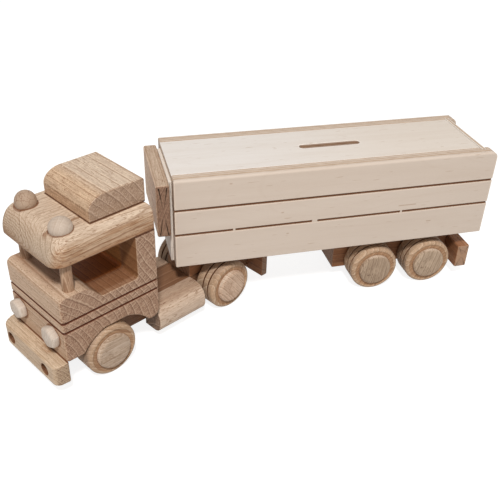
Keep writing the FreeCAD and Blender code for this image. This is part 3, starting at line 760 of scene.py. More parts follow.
def cab_side_view(low, high):
    """Side outline of the cab block: front, dashboard, hollow, rear wall."""
    wall_front = low[0] + CAB_WALL
    dash_rear = high[0] - DASH_LENGTH
    dash_top = low[2] + DASH_HEIGHT
    cab_floor = low[2] + CABIN_FLOOR
    corners = [(low[0], low[2]), (high[0], low[2]), (high[0], dash_top), (dash_rear, dash_top),
               (dash_rear - FOOT_WELL, cab_floor), (wall_front, cab_floor), (wall_front, high[2]),
               (low[0], high[2])]
    radii = [6.0, 0.2, 5.0, 8.0, 2.5, 2.5, 0, 0]
    return rounded_outline(corners, radii, 10)


def cab_marks_and_painted_light(low, high, grooves):
    """V grooves darkened, painted shade, with a painted highlight on their lower lip; the cabin hollow darker
    and redder, partly as cut and partly painted shade, with painted light and shade in it; painted shade at
    the joints.
    """
    def tints(x, y, z):
        behind, left_in, side_in = high[0] - x, high[1] - y, high[1] - abs(y)
        ahead, rise, drop = x - low[0], z - low[2], high[2] - z
        depth = behind.math("MINIMUM", side_in)
        sunk = depth.ramp(0.02, 0.35) * ahead.ramp(0.2, 0.6)
        near_face = depth.ramp(0.6, 0.3)
        for level in grooves:
            # painted shade in each V groove, and a painted highlight on its lower lip
            yield z.away(level).ramp(1.15, 0.8) * sunk, (0.2, 0.07, 0.03)
            yield z.within(level - 1.9, level - 1.05, 0.25) * near_face * 0.55, (1.25, 1.22, 1.18)
        # the cabin's hollow: darker and redder, partly its cut faces' own tone and partly painted shade
        hollow = (behind.ramp(24.0, 30.0) * ahead.ramp(CAB_WALL - 0.4, CAB_WALL - 0.1)
                  * rise.ramp(CABIN_FLOOR - 0.4, CABIN_FLOOR - 0.1) * side_in.ramp(0.1, 0.8))
        yield hollow, (0.6, 0.42, 0.32)
        # painted shade on the rear wall's near part, where the lamp reaches in, and painted light, warmer,
        # deeper in
        rear = hollow * ahead.ramp(CAB_WALL + 2.0, CAB_WALL + 0.4)
        yield rear * y.ramp(14.0, 18.0), (0.82, 0.77, 0.62)
        yield rear * y.ramp(15.5, 11.5), (1.46, 1.34, 0.86)
        # painted light and shade on the cabin floor: darker inward from its lit near edge, and redder deep in
        # the shade
        cabin_floor = hollow * rise.ramp(CABIN_FLOOR + 3.6, CABIN_FLOOR + 1.1)
        yield cabin_floor, (0.94, 1.0, 1.04)
        yield cabin_floor * y.ramp(30.0, 27.5), (0.74, 0.63, 0.53)
        yield cabin_floor * y.ramp(15.5, 13.0), (1.38, 0.96, 0.45)
        # painted shade, browner, on the dashboard's top under the roof, towards the far side
        dash_top = rise.ramp(DASH_HEIGHT - 2.8, DASH_HEIGHT - 0.4)
        behind_glass = dash_top * behind.ramp(3.0, 8.0) * behind.ramp(26.0, 22.0)
        yield behind_glass * y.ramp(20.0, 8.0), (0.82, 0.72, 0.66)
        # painted shade along the top, under the roof
        yield drop.ramp(1.2, 0.3) * depth.ramp(3.0, 0.5), (0.24, 0.13, 0.08)
        fleck = joined(x, y, z).noise((0.75, 0.75, 0.5), 2.0, 0.7).ramp(0.5, 0.6)
        yield hypot(behind, left_in).ramp(4.2, 2.2) * fleck * 0.75, (0.6, 0.46, 0.37)
        # painted shade in a ring round each headlight
        for centre, radius in lamp_seats("headlight_", [1, 2], 2):
            yield past_ring(y, z, centre, radius).ramp(1.3, 0.0) * behind.ramp(1.0, 0.3), (0.55, 0.4, 0.31)
        # painted shade along the foot of the front, above the bumper
        yield rise.ramp(1.3, 0.3) * behind.ramp(1.2, 0.4), (0.36, 0.21, 0.14)
        yield rise.ramp(24.0, 18.0) * depth.ramp(1.0, 0.5) * left_in.ramp(1.5, 0.5), (0.97, 0.95, 0.93)
    return tints


def cab_block():
    """Side outline less the wheel arch, carried across, with V grooves cut round it."""
    low, high = TRACTOR.box("cab_block")
    side_view = cab_side_view(low, high)
    axle_low, axle_high = TRACTOR.box("front_axle")
    arch_x = (axle_low[0] + axle_high[0]) / 2 - ARCH_SETBACK
    grooves = [low[2] + rise for rise in CAB_GROOVES]

    def distance(x, y, z):
        side = outline_distance(side_view, x, z)
        arch = np.minimum(ARCH_RADIUS - np.hypot(x - arch_x, z - ARCH_MIDDLE), ARCH_TOP - z)
        profile = rounded_cut(side, arch, 0.5)
        arris = np.where(y > 0, 2.2, 0.7)
        inset = rounded_cut(x - high[0], np.abs(y) - high[1], arris)
        solid = rounded_cut(profile, inset, 0.6)
        for level in grooves:
            groove = (np.abs(z - level) - (1.0 + inset / 1.3)) * 0.79
            solid = rounded_cut(solid, -groove, 0.2)
        return solid

    wall, floor_level, dash = low[0] + CAB_WALL, low[2] + CABIN_FLOOR, low[2] + DASH_HEIGHT
    fine_z = [(level - 1.8, level + 1.8) for level in grooves] + [(floor_level - 1.4, dash + 1.2)]
    shape = carved(distance,
                   levels(low[0], high[0], 1.2, [(wall - 2.0, wall + 2.5)]),
                   levels(low[1], high[1], 3.0, [(low[1], low[1] + 2.8), (high[1] - 2.8, high[1])]),
                   levels(low[2], high[2], 1.2, fine_z))
    timber = replace(
        BEECH, light=(0.575, 0.412, 0.292), dark=(0.465, 0.305, 0.2), streaks=0.5, dashes=0.75,
        dash_length=1.5, grain=0.45, speckle=0.85, rays=0.6, nicks=0.7, wear=0.15,
        end_light=(0.385, 0.236, 0.158), end_dark=(0.19, 0.105, 0.064), end_bright=(0.56, 0.4, 0.29))
    material = wood("cab_beech", timber, TRACTOR, (0, 1, 0), (205, 0, 5), 115, cab_marks_and_painted_light(low, high, grooves))
    finished("cab_block", shape, TRACTOR, "tractor", material, distance)


def roof_marks_and_painted_light(low, high):
    """Dark streaks that run back on both sides and arcs on the nose; painted shade on the sides, towards the
    foot and at the joints with the wall, the deflector and the lamps.
    """
    deflector = TRACTOR.box("wind_deflector")

    def tints(x, y, z):
        behind, left_in, side_in = high[0] - x, high[1] - y, high[1] - abs(y)
        rise, drop = z - low[2], high[2] - z
        place = joined(x, y, z)
        line = (y - behind.ramp(7.0, 1.0) * 7.0).away(15.5)
        width = place.noise((0.5, 0.9, 0.9), 2.0, 0.7) * (behind.ramp(9.0, 4.0) * 2.2 + 3.0)
        streak = (line - width).ramp(0.2, -0.6) * behind.within(1.8, 33.0, 0.8)
        yield streak * drop.ramp(5.5, 2.5) * 0.9, (0.55, 0.42, 0.33)
        # painted shade: the sides are browner
        yield side_in.ramp(7.0, 1.5) * drop.ramp(3.0, 9.0), (0.86, 0.76, 0.67)
        sweep = hypot((y + 21.0) * 0.31, rise - 5.8)
        ring = (sweep / 1.35 + place.noise((0.1, 0.16, 0.16), 2.0) * 1.4).math("FRACT")
        front = behind.ramp(10.0, 5.0) * y.ramp(14.0, 2.0)
        yield front * (ring.ramp(0.45, 0.85) * ring.ramp(1.0, 0.92)) * 0.8, (0.66, 0.55, 0.46)
        grooved = place.noise((0.035, 0.55, 0.75), 2.0, 0.7).ramp(0.48, 0.58)
        yield left_in.ramp(6.0, 1.5) * grooved * drop.ramp(2.0, 8.0), (0.74, 0.62, 0.52)
        yield behind.ramp(9.0, 3.0) * y.ramp(5.0, -25.0) * rise.ramp(12.0, 1.0), (0.76, 0.63, 0.52)
        # painted shade towards the foot of the roof, darkest along its joint with the wall
        yield rise.ramp(6.0, 0.8) * 0.9, (0.8, 0.68, 0.58)
        yield rise.ramp(1.1, 0.2), (0.38, 0.24, 0.17)
        top = drop.ramp(3.0, 1.0)
        from_deflector = hypot(*[past(value, *ends) for value, ends in zip((x, y), zip(*deflector))])
        # painted shade round the deflector's foot
        yield from_deflector.ramp(0.9, 0.3) * top, (0.3, 0.18, 0.12)
        yield from_deflector.within(1.1, 2.0, 0.3) * top, (1.12, 1.12, 1.1)
        # painted shadow round each roof lamp's foot
        for centre, radius in lamp_seats("roof_light_", [0, 1], 0):
            yield past_ring(x, y, centre, radius).ramp(1.0, 0.1) * top, (0.36, 0.22, 0.15)
    return tints


def cab_roof():
    """Plan outlines stacked upwards; each side draws in by its own elliptic rounding."""
    low, high = TRACTOR.box("cab_roof")
    thickness = high[2] - low[2]
    bow = 16.5                              # height of the front's rounding
    rise = np.concatenate([[0.0, 0.25, 0.8, 1.6],
                           thickness - bow + bow * np.sin(np.linspace(0, QUARTER_TURN, 24))])
    foot = np.clip(1 - rise / 0.8, 0, 1) ** 2 * 0.7

    def draw_in(reach, height):
        share = np.clip((rise - (thickness - height)) / height, 0, 1)
        return reach * (1 - np.sqrt(1 - share ** 2)) + foot

    front, rear = draw_in(14.5, bow), draw_in(4.0, 4.5)
    right, left = draw_in(4.5, 6.0), draw_in(8.5, 9.5)
    loops = []
    for index, height in enumerate(rise):
        corners = rectangle(low[0] + rear[index], high[0] - front[index],
                            low[1] + right[index], high[1] - left[index])
        right_corner = max(6.8 - 0.2 * front[index], 4.0)
        left_corner = max(9.5 - 0.35 * front[index], 4.0)
        outline = rounded_outline(corners, [1.2, right_corner, left_corner, 1.2], 12)
        loops.append(at_level(outline, low[2] + height, "z"))
    timber = replace(
        BEECH, light=(0.588, 0.462, 0.352), dark=(0.46, 0.325, 0.225), ring=2.0, wander=0.9, ring_tone=0.28,
        ring_lines=0.5, streaks=0.4, dashes=0.9, dash_length=3.0, grain=1.0, bright=(0.7, 0.56, 0.43),
        end_light=(0.55, 0.425, 0.315), end_dark=(0.28, 0.19, 0.125), end_bright=(0.66, 0.54, 0.42),
        end_lines=0.9, rays=0.1, speckle=0.7)
    material = wood("roof_beech", timber, TRACTOR, (1, -0.08, 0.05), (high[0], -62, low[2] - 63), 90,
                    roof_marks_and_painted_light(low, high))
    finished("cab_roof", loft(np.array(loops)), TRACTOR, "tractor", material)


DEFLECTOR_LIP = 7.4                         # upright part of its front
DEFLECTOR_NOSE = 14.0                       # length of the slope above it


def deflector_tone_and_painted_shade(low, high):
    """The slope is yellower than the top; the upright lip is browner, painted shade, and so is the foot."""
    def tints(x, y, z):
        rise = z - low[2]
        slope = (high[0] - x).ramp(17.0, 7.0) * (high[1] - abs(y)).ramp(0.1, 0.7)
        below, above = DEFLECTOR_LIP - 1.0, DEFLECTOR_LIP + 1.0
        yield slope * rise.ramp(below, above), (0.93, 0.84, 0.74)
        # painted shade on the upright lip
        yield slope * rise.ramp(above, below), (0.94, 0.81, 0.69)
        fleck = joined(x, y, z).noise((0.9, 0.9, 0.9), 2.0, 0.7).ramp(0.46, 0.58)
        yield (high[1] - y).within(0.15, 1.3, 0.15) * fleck * 0.8, (0.58, 0.43, 0.33)
        # painted shade along its foot, where it sits on the roof
        yield rise.ramp(1.3, 0.4), (0.3, 0.17, 0.11)
    return tints


def wind_deflector():
    """Side outline with an upright lip and a quarter of an ellipse above it, carried across."""
    low, high = TRACTOR.box("wind_deflector")
    lip = low[2] + DEFLECTOR_LIP
    swing = np.linspace(0, QUARTER_TURN, 19)
    nose = np.stack([high[0] - DEFLECTOR_NOSE * (1 - np.cos(swing)), lip + (high[2] - lip) * np.sin(swing)],
                    axis=1)
    corners = [(low[0], low[2]), (high[0], low[2]), *nose, (low[0], high[2])]
    outline = rounded_outline(corners, [0.4, 0.6] + [0.0] * len(nose) + [1.6], 10)
    timber = replace(
        BEECH, light=(0.595, 0.478, 0.372), dark=(0.485, 0.352, 0.255), ring=5.4, wander=1.4, ring_tone=0.5,
        ring_lines=0.6, streaks=0.35, flecks=0.9, dashes=0.8, grain=1.0, nicks=0.5, wear=0.1,
        bright=(0.74, 0.6, 0.46), end_light=(0.41, 0.275, 0.19), end_dark=(0.22, 0.135, 0.085), speckle=1.0)
    material = wood("deflector_beech", timber, TRACTOR, (0, 1, 0), (163, 0, 78), 85,
                    deflector_tone_and_painted_shade(low, high))
    shape = prism(outline, low[1], high[1], "y", 0.5)
    finished("wind_deflector", shape, TRACTOR, "tractor", material)


def crackled(x, y, z):
    """Fine brown checks in a lamp that is darker all over."""
    place = joined(x, y, z)
    drifted = place + place.noise((0.5, 0.5, 0.5), 2.0, output="Color") * (2.6, 2.6, 2.6)
    cells = add(tree_of(place), "ShaderNodeTexVoronoi", drifted, feature="DISTANCE_TO_EDGE")
    cells.inputs["Scale"].default_value = 0.2
    patch = place.noise((0.16, 0.16, 0.16)).ramp(0.4, 0.55)
    yield Field(cells.outputs["Distance"]).ramp(0.055, 0.01) * patch * 0.8, (0.5, 0.36, 0.27)
    yield 1.0, (0.8, 0.71, 0.63)


def roof_light(side, sign):
    """A ball with a flat foot: an arc from the foot to the crown, turned.

    The left one's crown is sanded lower; the right one is slimmer and stands aside by that.
    """
    node = "roof_light_" + side
    low, high = TRACTOR.box(node)
    radius = (high[0] - low[0]) / 2
    centre = (low + high) / 2
    centre[2] = high[2] - radius
    crown, slim = {"left": (0.9, 1.0), "right": (1.0, 0.95)}[side]
    foot = low[2] - centre[2]
    angle = np.linspace(math.asin(max(foot / radius, -1)), QUARTER_TURN, 31)
    profile = radius * np.stack([np.sin(angle), np.cos(angle)], axis=1)
    profile[:, 0] = foot + (profile[:, 0] - foot) * crown
    profile[:, 1] = np.maximum(profile[:, 1], 0) * slim
    shift = radius * (slim - 1)
    shape = moved(turned(profile, 72), centre + (shift, shift, 0), "z")
    timber = replace(
        PALE_BEECH, ring=3.6, ring_lines=0.12, ring_tone=0.18, streaks=0.25, dashes=0.12,
        light=(0.52, 0.43, 0.355), dark=(0.42, 0.325, 0.25), bright=(0.64, 0.55, 0.47), grain=0.35,
        end_light=(0.52, 0.43, 0.355), end_dark=(0.4, 0.3, 0.225), end_bright=(0.64, 0.55, 0.47),
        end_lines=0.3, rays=0.2, speckle=0.25)
    material = wood(node + "_beech", timber, TRACTOR, (0.2, 0.3, 1), centre + (14.0, -19.0 * sign, 0), 20,
                    crackled if side == "right" else None)
    finished(node, shape, TRACTOR, "tractor", material)


def windscreen_pillar(side):
    """A dowel, very slightly slimmer at its middle."""
    node = "windscreen_pillar_" + side
    low, high = TRACTOR.box(node)
    centre = (low + high) / 2
    length = high[2] - low[2]
    height = np.linspace(-length / 2, length / 2, 14)
    waist = (high[0] - low[0]) / 2 - 0.12 * np.cos(height / length * math.pi) ** 2
    shape = moved(turned(np.stack([height, waist], axis=1), 48), centre, "z")
    timber = replace(
        BEECH, ring=2.4, ring_lines=0.8, dashes=0.9, dash_length=4.0, grain=0.9, light=(0.42, 0.265, 0.172),
        dark=(0.3, 0.172, 0.1), bright=(0.55, 0.38, 0.26))
    material = wood(node + "_beech", timber, TRACTOR, (0.06, 0, 1), centre + (22, 19, 0), 25)
    finished(node, shape, TRACTOR, "tractor", material)


def headlight(side, sign):
    """A plug sanded to six soft flats: its radius follows a hexagon with corners at top and bottom."""
    node = "headlight_" + side
    low, high = TRACTOR.box(node)
    centre = (low + high) / 2
    radius = (high[2] - low[2]) / 2
    face = TRACTOR.box("cab_block")[1][0]
    front = high[0]
    stem = 4.0
    soft = 2.4
    dome = 0.45
    profile = [(low[0], stem), (face - 0.2, stem), (face - 0.15, radius - 0.5), (face + 0.3, radius - 0.3),
               (face + 1.0, radius), (face + 2.0, radius)]
    for step in np.radians(np.linspace(10, 80, 8)):
        profile.append((front - dome - soft + soft * math.sin(step), radius - soft + soft * math.cos(step)))
    for share in (0.9, 0.7, 0.45, 0.2, 0.0):
        profile.append((front - dome * share ** 2, 4.5 * share))
    vertices, faces = turned(profile, 96)
    sector = FULL_TURN / 6
    angle = np.arctan2(vertices[:, 0], vertices[:, 2]) - sector / 2 + 0.12 * sign
    polygon = math.cos(sector / 2) / np.cos(np.mod(angle, sector) - sector / 2)
    beyond = np.clip((np.hypot(vertices[:, 0], vertices[:, 2]) - stem - 0.1) / 2, 0, 1)[:, None]
    shrink = 1 + (np.stack([polygon, np.ones_like(polygon), polygon], axis=1) - 1) * beyond * 0.65
    slim = 0.9 if side == "right" else 1.0
    shape = moved((vertices * shrink * (slim, 1, 1), faces), (0, centre[1], centre[2]), "x")
    timber = replace(
        PALE_BEECH, ring=2.4, ring_lines=0.3, ring_tone=0.18, streaks=0.3, dashes=0.3, grain=0.4,
        light=(0.61, 0.525, 0.45), dark=(0.53, 0.43, 0.355), bright=(0.76, 0.69, 0.61),
        end_light=(0.61, 0.525, 0.45), end_dark=(0.47, 0.37, 0.295), end_lines=0.3, rays=0.15, speckle=0.25)
    material = wood(node + "_beech", timber, TRACTOR, (0.1, 0.25 * sign, 1),
                    (front, centre[1] - 24 * sign, centre[2]), 20)
    finished(node, shape, TRACTOR, "tractor", material)


def front_bumper():
    """A bar rounded in plan and along its edges, less two blind lamp holes with eased lips."""
    low, high = TRACTOR.box("front_bumper")
    middle = (low + high) / 2
    half_height = (high[2] - low[2]) / 2
    rear = low[0] - 0.7                     # it runs on a little under the cab
    plan = rounded_outline(rectangle(rear, high[0], low[1], high[1] - 0.5), [0.3, 9.0, 5.5, 1.2], 12)
    holes = (middle[1] - 23.0, middle[1] + 21.0)
    hole_radius = 4.2
    hole_depth = 6.0

    def distance(x, y, z):
        upper = z > middle[2]
        edge = np.where(upper, 0.25, 2.1) \
            + np.where(upper, 1.35, 0.6) * np.clip((x - low[0] - 0.4) / 4.0, 0, 1)
        solid = rounded_cut(outline_distance(plan, x, y), np.abs(z - middle[2]) - half_height, edge)
        for place in holes:
            bore = np.maximum(np.hypot(y - place, z - middle[2]) - hole_radius, high[0] - hole_depth - x)
            solid = rounded_cut(solid, -bore, 0.9)
        return solid

    def tints(x, y, z):
        top = (high[2] - z).ramp(1.5, 0.5)
        # painted shade inside each lamp hole
        for place in holes:
            inside = past_ring(y, z, (place, middle[2]), hole_radius).ramp(1.0, 0.5)
            yield inside * (high[0] - x).ramp(0.03, 0.3), (0.34, 0.2, 0.13)
        # painted shade along the rear of the top, where the bumper meets the cab
        yield x.ramp(low[0] + 1.0, low[0] + 0.2) * top, (0.34, 0.19, 0.12)
        smear = joined(x, y, z).noise((0.25, 0.1, 0.25), 2.0, 0.6).ramp(0.42, 0.52)
        yield past_ring(x, y, (low[0], 12.0), 7.0).ramp(1.0, -3.0) * smear * top, (0.78, 0.66, 0.57)

    fine_y = [(place - 5.5, place + 5.5) for place in holes]
    fine_y += [(low[1], low[1] + 10), (high[1] - 7, high[1])]
    shape = carved(distance,
                   levels(rear, high[0], 0.5),
                   levels(low[1], high[1], 2.0, fine_y, 0.4),
                   levels(low[2], high[2], 0.6))
    timber = replace(
        BEECH, light=(0.605, 0.465, 0.33), dark=(0.485, 0.34, 0.218), ring=2.6, wander=1.3, ring_lines=0.4,
        dashes=0.5, grain=0.8, end_light=(0.4, 0.275, 0.178), end_dark=(0.18, 0.108, 0.062),
        end_bright=(0.58, 0.44, 0.31), speckle=1.0, nicks=0.3)
    pith = (middle[0] + 55, 0, middle[2] - 40)
    material = wood("bumper_beech", timber, TRACTOR, (0, 1, 0.02), pith, 60, tints)
    finished("front_bumper", shape, TRACTOR, "tractor", material, distance)


def fuel_tank(side, sign):
    """A block whose outer edges are rounded, the upper one more, carried along the beam."""
    node = "fuel_tank_" + side
    low, high = TRACTOR.box(node)
    inner, outer = (low[1], high[1]) if sign > 0 else (-high[1], -low[1])
    outline = rounded_outline(rectangle(inner, outer, low[2], high[2]), [0.5, 8.0, 11.0, 0.5], 14)
    if sign < 0:
        outline = (outline * (-1, 1))[::-1]
    # its dark end grain colours are painted shade on the ends
    timber = replace(
        BEECH, light=(0.605, 0.475, 0.375), dark=(0.5, 0.37, 0.275), ring=6.0, ring_lines=0.15, dashes=1.0,
        dash_length=3.6, streaks=0.4, grain=0.6, end_light=(0.27, 0.165, 0.108),
        end_dark=(0.13, 0.075, 0.045))

    def tints(x, y, z):
        # painted shade: the top is darker, under the cab and the trailer
        yield (high[2] - z).ramp(4.0, 0.8), (0.74, 0.67, 0.62)

    material = wood(node + "_beech", timber, TRACTOR, (1, 0, 0), (0, 42 * sign, -34), 50, tints)
    finished(node, prism(outline, low[0], high[0], "x", 0.9), TRACTOR, "tractor", material)


# ---- wheels

RECESS_DEPTH = 0.6
RECESS_RIM = 3.1
BORE = 4.05
TREAD_SOFT = 3.0                            # rounding of the tread's outer edge
TREAD_GROOVES = (6.4, 11.9)                 # behind the outer face


def wheel_profile(radius, width, grooved):
    """Closed section of a wheel, outer face at 0: shallow recess, rounded rim, tread and bore."""
    recess = radius - RECESS_RIM
    profile = [(-RECESS_DEPTH, BORE), (-RECESS_DEPTH, recess - 0.9), (-0.85 * RECESS_DEPTH, recess - 0.45),
               (-0.4 * RECESS_DEPTH, recess - 0.1), (-0.05, recess + 0.05)]
    for step in np.radians(np.linspace(4, 90, 10)):
        profile.append((TREAD_SOFT * (math.cos(step) - 1), radius - TREAD_SOFT + TREAD_SOFT * math.sin(step)))
    for offset in TREAD_GROOVES if grooved else ():
        profile += groove_section(-offset, radius)
    for step in np.radians(np.linspace(0, 90, 5)):
        profile.append((-width + 1.0 - math.sin(step), radius - 1.0 + math.cos(step)))
    profile.append((-width, BORE))
    return profile


def groove_section(middle, radius):
    """V groove in the tread with slightly eased lips."""
    half = [(0.95, 0.0), (0.7, 0.12), (0.12, 1.45)]
    return [(middle + across, radius - depth) for across, depth in half] + \
        [(middle - across, radius - depth) for across, depth in half[::-1]]


def hub_profile(radius, thickness):
    """Section of a hub disc: flat back, rounded rim, faintly domed face."""
    edge = 2.3
    dome = 0.25
    top = thickness - dome
    profile = [(0.0, 0.0), (0.0, radius)]
    for step in np.radians(np.linspace(0, 90, 7)):
        profile.append((top - edge + edge * math.sin(step), radius - edge + edge * math.cos(step)))
    for share in (0.85, 0.65, 0.4, 0.2, 0.0):
        profile.append((thickness - dome * share ** 2, (radius - edge) * share))
    return profile


def wheel_chatter_and_painted_shade(centre, sign, radius, width, hub_radius, grooved):
    """Painted shade in the ring round the hub disc, with cutter chatter, and at the disc's foot; painted
    shade in the tread grooves.
    """
    def tints(x, y, z):
        reach = past_ring(x, z, (centre[0], centre[2]), 0.0)
        depth = (y - (centre[1] + sign * width / 2)) * -sign
        face = depth.ramp(RECESS_DEPTH + 0.5, RECESS_DEPTH + 0.2)
        recess = radius - RECESS_RIM
        ring = reach.ramp(recess + 0.5, recess - 0.5) * face
        # painted shade in the shallow recess round the hub disc
        yield ring, (0.82, 0.71, 0.62)
        if grooved:
            angle = (z - centre[2]).math("ARCTAN2", x - centre[0])
            chatter = (angle * 34.0).math("SINE").ramp(-0.2, 0.9)
            yield ring * chatter * 0.3, (1.35, 1.28, 1.2)
            shoulder = reach.within(recess - 0.2, radius - 0.3, 0.3) * depth.ramp(2.5, 1.5)
            yield shoulder * chatter * 0.45, (1.22, 1.2, 1.18)
        # painted shade at the hub disc's foot
        yield reach.ramp(hub_radius + 0.6, hub_radius - 0.1) * face, (0.5, 0.35, 0.27)
        # painted shade in the tread grooves
        for offset in TREAD_GROOVES if grooved else ():
            groove = depth.away(offset).ramp(1.0, 0.6)
            yield groove * reach.ramp(radius - 0.02, radius - 0.5), (0.25, 0.14, 0.09)
    return tints


def lean(degrees):
    """Direction in the plane of a wheel, turned up from the seat's x."""
    angle = math.radians(degrees)
    return np.array([math.cos(angle), 0.0, math.sin(angle)])


def wheel_and_hub(prefix, side, sign, seat, grooved, hub_lean, hub_tone, hub_ring):
    """One wheel and its hub disc; hub_lean is the way the disc's grain lies."""
    body = prefix + "_axle_set"
    wheel_node = "%s_wheel_%s" % (prefix, side)
    hub_node = "%s_hub_%s" % (prefix, side)
    hub_low, hub_high = seat.box(hub_node)
    hub_radius = (hub_high[2] - hub_low[2]) / 2
    low, high = seat.box(wheel_node)
    centre = (low + high) / 2
    radius = (high[2] - low[2]) / 2
    width = high[1] - low[1]
    outer = centre + (0, sign * width / 2, 0)
    vertices, faces = turned(wheel_profile(radius, width, grooved), 120, wrap=True)
    timber = replace(
        BEECH, light=(0.485, 0.333, 0.218), dark=(0.34, 0.213, 0.128), ring=3.8, ring_lines=0.35, grain=0.6,
        end_light=(0.45, 0.315, 0.22), end_dark=(0.27, 0.17, 0.108), end_lines=0.5, rays=0.15)
    material = wood(wheel_node + "_beech", timber, seat, lean(hub_lean + 35 * sign),
                    outer + lean(hub_lean + 125) * 40 + (0, -30 * sign, 0), 40,
                    wheel_chatter_and_painted_shade(centre, sign, radius, width, hub_radius, grooved))
    finished(wheel_node, (vertices * (1, sign, 1) + outer, faces), seat, body, material)

    vertices, faces = turned(hub_profile(hub_radius, hub_high[1] - hub_low[1]), 96)
    light, dark, dash = hub_tone
    timber = replace(
        PALE_BEECH, light=light, dark=dark, dash=dash, bright=tuple(1.18 * part for part in light),
        ring=hub_ring, wander=2.2, ring_lines=0.45, ring_tone=0.6, streaks=0.75, dashes=0.95,
        dash_length=2.6, grain=0.9)
    material = wood(hub_node + "_beech", timber, seat, lean(hub_lean),
                    outer + lean(hub_lean + 90) * 70 + (0, -14 * sign, 0), 70)
    back = outer - (0, sign * RECESS_DEPTH, 0)
    finished(hub_node, (vertices * (1, sign, 1) + back, faces), seat, body, material)


CREAM_HUB = ((0.51, 0.4, 0.312), (0.38, 0.272, 0.19), (0.22, 0.135, 0.082))
ROSY_HUB = ((0.62, 0.465, 0.35), (0.5, 0.345, 0.245), (0.3, 0.165, 0.1))
BROWN_HUB = ((0.43, 0.325, 0.235), (0.315, 0.22, 0.148), (0.14, 0.085, 0.052))
GREY_HUB = ((0.48, 0.37, 0.272), (0.36, 0.258, 0.178), (0.17, 0.105, 0.065))
AXLE_SETS = (
    # prefix, seat, grooved, lean of the hub's grain, its tone, its ring spacing
    ("front", TRACTOR, False, 1, CREAM_HUB, 4.0),
    ("drive", TRACTOR, True, 52, ROSY_HUB, 3.4),
    ("trailer_first", TRAILER, True, 98, BROWN_HUB, 3.2),
    ("trailer_second", TRAILER, True, 105, GREY_HUB, 3.5),
)


# ---- trailer

PANEL_GROOVES = (27.9, 48.5)                # above the panel's foot
GROOVE_HALF = 0.9
GROOVE_DEPTH = 1.4
GATE_GROOVE = 3.2                           # depth of the groove the tailgate slides in
BRIDGES = ((44.4, 1.6), (107.7, 4.0), (179.4, 1.4))     # behind the front, width
PANEL_PLIES = ((2.9, 5.0), (5.9, 7.3), (8.5, 10.0))
PANEL_MARKS = (                             # small dark marks in the left panel: middle x, z and half length
    (-11.0, 114.5, 0.6), (-51.0, 86.0, 0.6), (-56.0, 67.0, 0.6), (-153.5, 81.0, 7.0), (-174.5, 64.0, 1.6))


def panel_marks_and_painted_light(low, high, outer, sign, grooves):
    """Saw grooves with painted shade in them and a painted highlight on a fuzzy lip below them, pale ends and
    a few small marks.
    """
    def tints(x, y, z):
        depth = outer - y * sign
        sunk = depth.ramp(0.05, 0.5)
        flush = depth.ramp(0.5, 0.2)
        for level in grooves:
            # painted shade in each groove and a painted highlight on its lower lip
            yield z.away(level).ramp(1.25, 0.95) * sunk, (0.4, 0.235, 0.145)
            yield z.within(level - 2.0, level - 0.95, 0.2) * flush * 0.9, (1.13, 1.12, 1.1)
        half = (high[0] - low[0]) / 2
        yield flush * x.away((low[0] + high[0]) / 2).ramp(half - 1.6, half - 0.6), (1.12, 1.11, 1.09)
        for mark_x, mark_z, half in PANEL_MARKS if sign > 0 else ():
            reach = hypot(past(x, mark_x - half, mark_x + half), z.away(mark_z))
            yield reach.ramp(0.75, 0.2) * flush * 0.55, (0.62, 0.48, 0.37)
    return tints


def side_panel(side, sign):
    """A board with two saw grooves along it and the tailgate's groove inside its rear end."""
    node = "side_panel_" + side
    low, high = TRAILER.box(node)
    outer = max(abs(low[1]), abs(high[1]))
    inner = outer - (high[1] - low[1])
    grooves = [low[2] + rise for rise in PANEL_GROOVES]
    gate_low, gate_high = TRAILER.box("tailgate")
    gate_middle = (gate_low[0] + gate_high[0]) / 2
    gate_half = (gate_high[0] - gate_low[0]) / 2 + 0.3
    face = rounded_outline(rectangle(low[0], high[0], low[2], high[2]), [0.6, 0.6, 1.4, 5.5], 10)

    def distance(x, y, z):
        out = y * sign - outer
        profile = outline_distance(face, x, z)
        solid = np.maximum(rounded_cut(profile, out, 0.5), rounded_cut(z - high[2], out, 2.0))
        solid = rounded_cut(solid, inner - y * sign, 0.4)
        for level in grooves:
            kerf = np.maximum(np.abs(z - level) - GROOVE_HALF, -out - GROOVE_DEPTH)
            for place, width in BRIDGES if level == grooves[0] else ():
                bridge = width / 2 - np.abs(high[0] - x - place)
                kerf = np.maximum(kerf, (bridge - out * 0.6) * 0.85)
            solid = rounded_cut(solid, -kerf, 0.2)
        slide = np.maximum(np.abs(x - gate_middle) - gate_half, y * sign - inner - GATE_GROOVE)
        return rounded_cut(solid, -np.maximum(slide, gate_low[2] - 0.3 - z), 0.2)

    fine_x = [(high[0] - place - width / 2 - 1.6, high[0] - place + width / 2 + 1.6)
              for place, width in BRIDGES]
    fine_x += [(gate_low[0] - 1, gate_high[0] + 1), (low[0], low[0] + 6)]
    fine_z = [(level - 1.6, level + 1.6) for level in grooves]
    fine_z += [(low[2], low[2] + 3.4), (high[2] - 6, high[2])]
    sides = (outer, inner) if sign > 0 else (-inner, -outer)
    shape = carved(distance,
                   levels(low[0], high[0], 3.2, fine_x),
                   levels(low[1], high[1], 1.0, [(sides[0] - 3.0, sides[0]), (sides[1], sides[1] + 3.0)]),
                   levels(low[2], high[2], 3.2, fine_z))
    material = plywood(node + "_birch", PANEL_BIRCH, TRAILER, "y", outer * sign, -sign, PANEL_PLIES,
                       panel_marks_and_painted_light(low, high, outer, sign, grooves))
    finished(node, shape, TRAILER, "trailer", material, distance)


SLOT_LENGTH = 49.6
SLOT_REACH = 3.3                            # half its width, and the radius of its ends
SLOT_SETBACK = 1.65                         # its middle behind the middle of the panels


